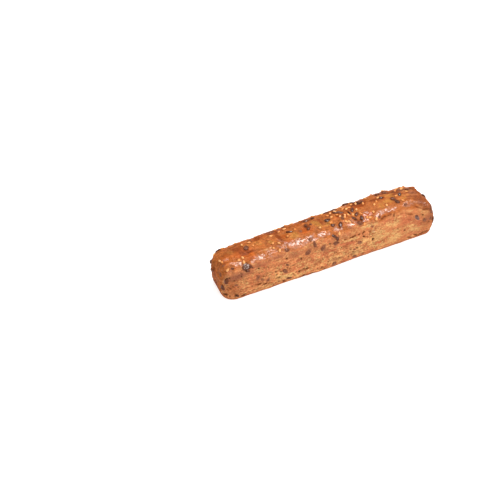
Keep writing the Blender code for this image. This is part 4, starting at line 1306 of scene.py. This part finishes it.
def sesame_material(colours):
    """Cream seed, more toasted at its tip, with a satin skin."""
    r = Recipe("sesame skin")
    grain = r.speckle("sesame grain")
    toasted = (r.mask("tone") + 0.6 * r.mask("lengthwise") ** 3.0 + 1.2 * grain).between(0.2, 1.1)
    return r.finish(
        **SURFACES["sesame"],
        Base_Color=r.mix(colours.sesame, colours.sesame_toasted, toasted),
        Normal=r.bump(grain, SEED_BUMP),
    )


def floor_material(studio):
    """Plain pale floor that gives some light of its own."""
    glow = {"Emission_Color": studio.floor, "Emission_Strength": studio.floor_glow}
    return Recipe("pale floor").finish(**SURFACES["floor"], Base_Color=studio.floor, **glow)


def put_in_scene(name, data):
    """An object that holds the data, in the scene in place of an older one of its name."""
    old = bpy.data.objects.get(name)
    if old is not None:
        bpy.data.objects.remove(old)
    thing = bpy.data.objects.new(name, data)
    bpy.context.scene.collection.objects.link(thing)
    return thing


def show(name, mesh, material):
    """Puts a finished piece in the scene, riding on the stick's body in place of its solid."""
    mesh.materials.append(material)
    piece = put_in_scene(name, mesh)
    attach(piece, BODY)
    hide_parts(NODE)


def lay_seeds(scene, kind, name, material):
    """Lays all seeds of a kind on the stick, with random numbers of their own."""
    stick = Stick(scene.stick_sizes)
    seeds, sizes = lay_out_seeds(stick, scene.seed_sizes)
    chance = np.random.default_rng(scene.seed_sizes.draw + OWN_DRAWS[kind])
    mesh = seed_mesh(stick, name, seeds[kind], sizes[kind], SEED_FORMS[kind], chance)
    show(name, mesh, material(scene.bake_colours))


class BREADSTICK_OT_crust(bpy.types.Operator):
    """Bake the crust: one closed surface with its relief, glaze, patches, cuts and pores"""

    bl_idname = "breadstick.crust"
    bl_label = "Bake crust"
    bl_options = {"REGISTER", "UNDO"}

    def execute(self, context):
        scene = context.scene
        stick = Stick(scene.stick_sizes)
        seeds, sizes = lay_out_seeds(stick, scene.seed_sizes)
        chance = np.random.default_rng(scene.seed_sizes.draw + OWN_DRAWS["crust"])
        mesh = crust_mesh(stick, seeds, sizes, chance)
        show("crust", mesh, crust_material(scene.bake_colours))
        return {"FINISHED"}


class BREADSTICK_OT_linseeds(bpy.types.Operator):
    """Lay the linseeds: flat dark drops, proud of the glaze and sunk in the sides"""

    bl_idname = "breadstick.linseeds"
    bl_label = "Lay linseeds"
    bl_options = {"REGISTER", "UNDO"}

    def execute(self, context):
        lay_seeds(context.scene, "linseed", "linseeds", linseed_material)
        return {"FINISHED"}


class BREADSTICK_OT_sesame_seeds(bpy.types.Operator):
    """Lay the sesame seeds: small cream drops on the glazed top"""

    bl_idname = "breadstick.sesame_seeds"
    bl_label = "Lay sesame seeds"
    bl_options = {"REGISTER", "UNDO"}

    def execute(self, context):
        lay_seeds(context.scene, "sesame", "sesame_seeds", sesame_material)
        return {"FINISHED"}


def softbox(name, direction, distance, width, depth, power):
    """An area light that faces the stick from a direction, with its depth along the stick's width."""
    light = bpy.data.lights.new(name, "AREA")
    light.shape = "RECTANGLE"
    light.size = width
    light.size_y = depth
    light.energy = power
    towards = Vector(direction).normalized()
    deep = Vector((0, 1, 0))
    deep = (deep - towards * deep.dot(towards)).normalized()
    turned = Matrix([deep.cross(towards), deep, towards]).transposed().to_4x4()
    put_in_scene(name, light).matrix_world = Matrix.Translation(towards * distance) @ turned


def aim_camera(studio):
    """The camera at a distance, turned and tilted round the stick and moved in the picture's plane."""
    c, s = math.cos(studio.turn), math.sin(studio.turn)
    ce, se = math.cos(studio.tilt), math.sin(studio.tilt)
    right = Vector((c, -s, 0))
    ahead = Vector((s * ce, c * ce, -se))
    up = right.cross(ahead)
    data = bpy.data.cameras.new("camera")
    data.sensor_width = SENSOR
    data.lens = SENSOR * studio.distance / studio.picture
    data.clip_start, data.clip_end = CLIP
    aside = right * PICTURE_ASIDE + up * PICTURE_UP
    place = -ahead * studio.distance - aside - Vector(BOX_MIDDLE) * MM
    turned = Matrix([right, up, -ahead]).transposed().to_4x4()
    camera = put_in_scene("camera", data)
    camera.matrix_world = Matrix.Translation(place) @ turned
    bpy.context.scene.camera = camera


class BREADSTICK_OT_studio(bpy.types.Operator):
    """Set the studio: a plain pale floor, soft light from above and in front, and the camera"""

    bl_idname = "breadstick.studio"
    bl_label = "Set studio"
    bl_options = {"REGISTER", "UNDO"}

    def execute(self, context):
        studio = context.scene.studio
        half = FLOOR_SIZE / 2
        corners = [(-half, -half, 0), (half, -half, 0), (half, half, 0), (-half, half, 0)]
        mesh = bpy.data.meshes.new("floor")
        mesh.from_pydata(corners, [], [(0, 1, 2, 3)])
        mesh.materials.append(floor_material(studio))
        put_in_scene("floor", mesh)
        world = bpy.data.worlds.new("surround")
        context.scene.world = world
        world.use_nodes = True
        background = world.node_tree.nodes["Background"]
        background.inputs["Color"].default_value = (1.0, 1.0, 1.0, 1.0)
        background.inputs["Strength"].default_value = studio.surround
        for side, (direction, distance, width, depth) in SOFTBOXES.items():
            softbox(side + " softbox", direction, distance, width, depth, getattr(studio, side))
        aim_camera(studio)
        context.scene.view_settings.view_transform = "Standard"
        context.scene.view_settings.look = "None"
        return {"FINISHED"}


class BREADSTICK_PT_panel(bpy.types.Panel):
    """The makers of the bread stick, with their sizes and colours"""

    bl_label = "Bread stick"
    bl_idname = "BREADSTICK_PT_panel"
    bl_space_type = "VIEW_3D"
    bl_region_type = "UI"
    bl_category = "Bread stick"

    def draw(self, context):
        layout = self.layout
        for maker in MAKERS:
            layout.operator(maker.bl_idname)
        for name, group in GROUPS.items():
            box = layout.box()
            box.label(text=group.__doc__)
            for prop in group.__annotations__:
                box.prop(getattr(context.scene, name), prop)


GROUPS = {
    "stick_sizes": StickSizes,
    "seed_sizes": SeedSizes,
    "bake_colours": BakeColours,
    "studio": StudioSettings,
}
MAKERS = (
    BREADSTICK_OT_crust,
    BREADSTICK_OT_linseeds,
    BREADSTICK_OT_sesame_seeds,
    BREADSTICK_OT_studio,
)


def register():
    """Registers the settings, the operators and the panel."""
    for name, group in GROUPS.items():
        bpy.utils.register_class(group)
        setattr(bpy.types.Scene, name, PointerProperty(type=group))
    for maker in MAKERS:
        bpy.utils.register_class(maker)
    bpy.utils.register_class(BREADSTICK_PT_panel)


def unregister():
    """Takes back all that register did."""
    bpy.utils.unregister_class(BREADSTICK_PT_panel)
    for maker in reversed(MAKERS):
        bpy.utils.unregister_class(maker)
    for name, group in GROUPS.items():
        delattr(bpy.types.Scene, name)
        bpy.utils.unregister_class(group)


def main():
    """Makes every piece and the studio."""
    register()
    bpy.ops.breadstick.crust()
    bpy.ops.breadstick.linseeds()
    bpy.ops.breadstick.sesame_seeds()
    bpy.ops.breadstick.studio()


if __name__ == "__main__":
    main()
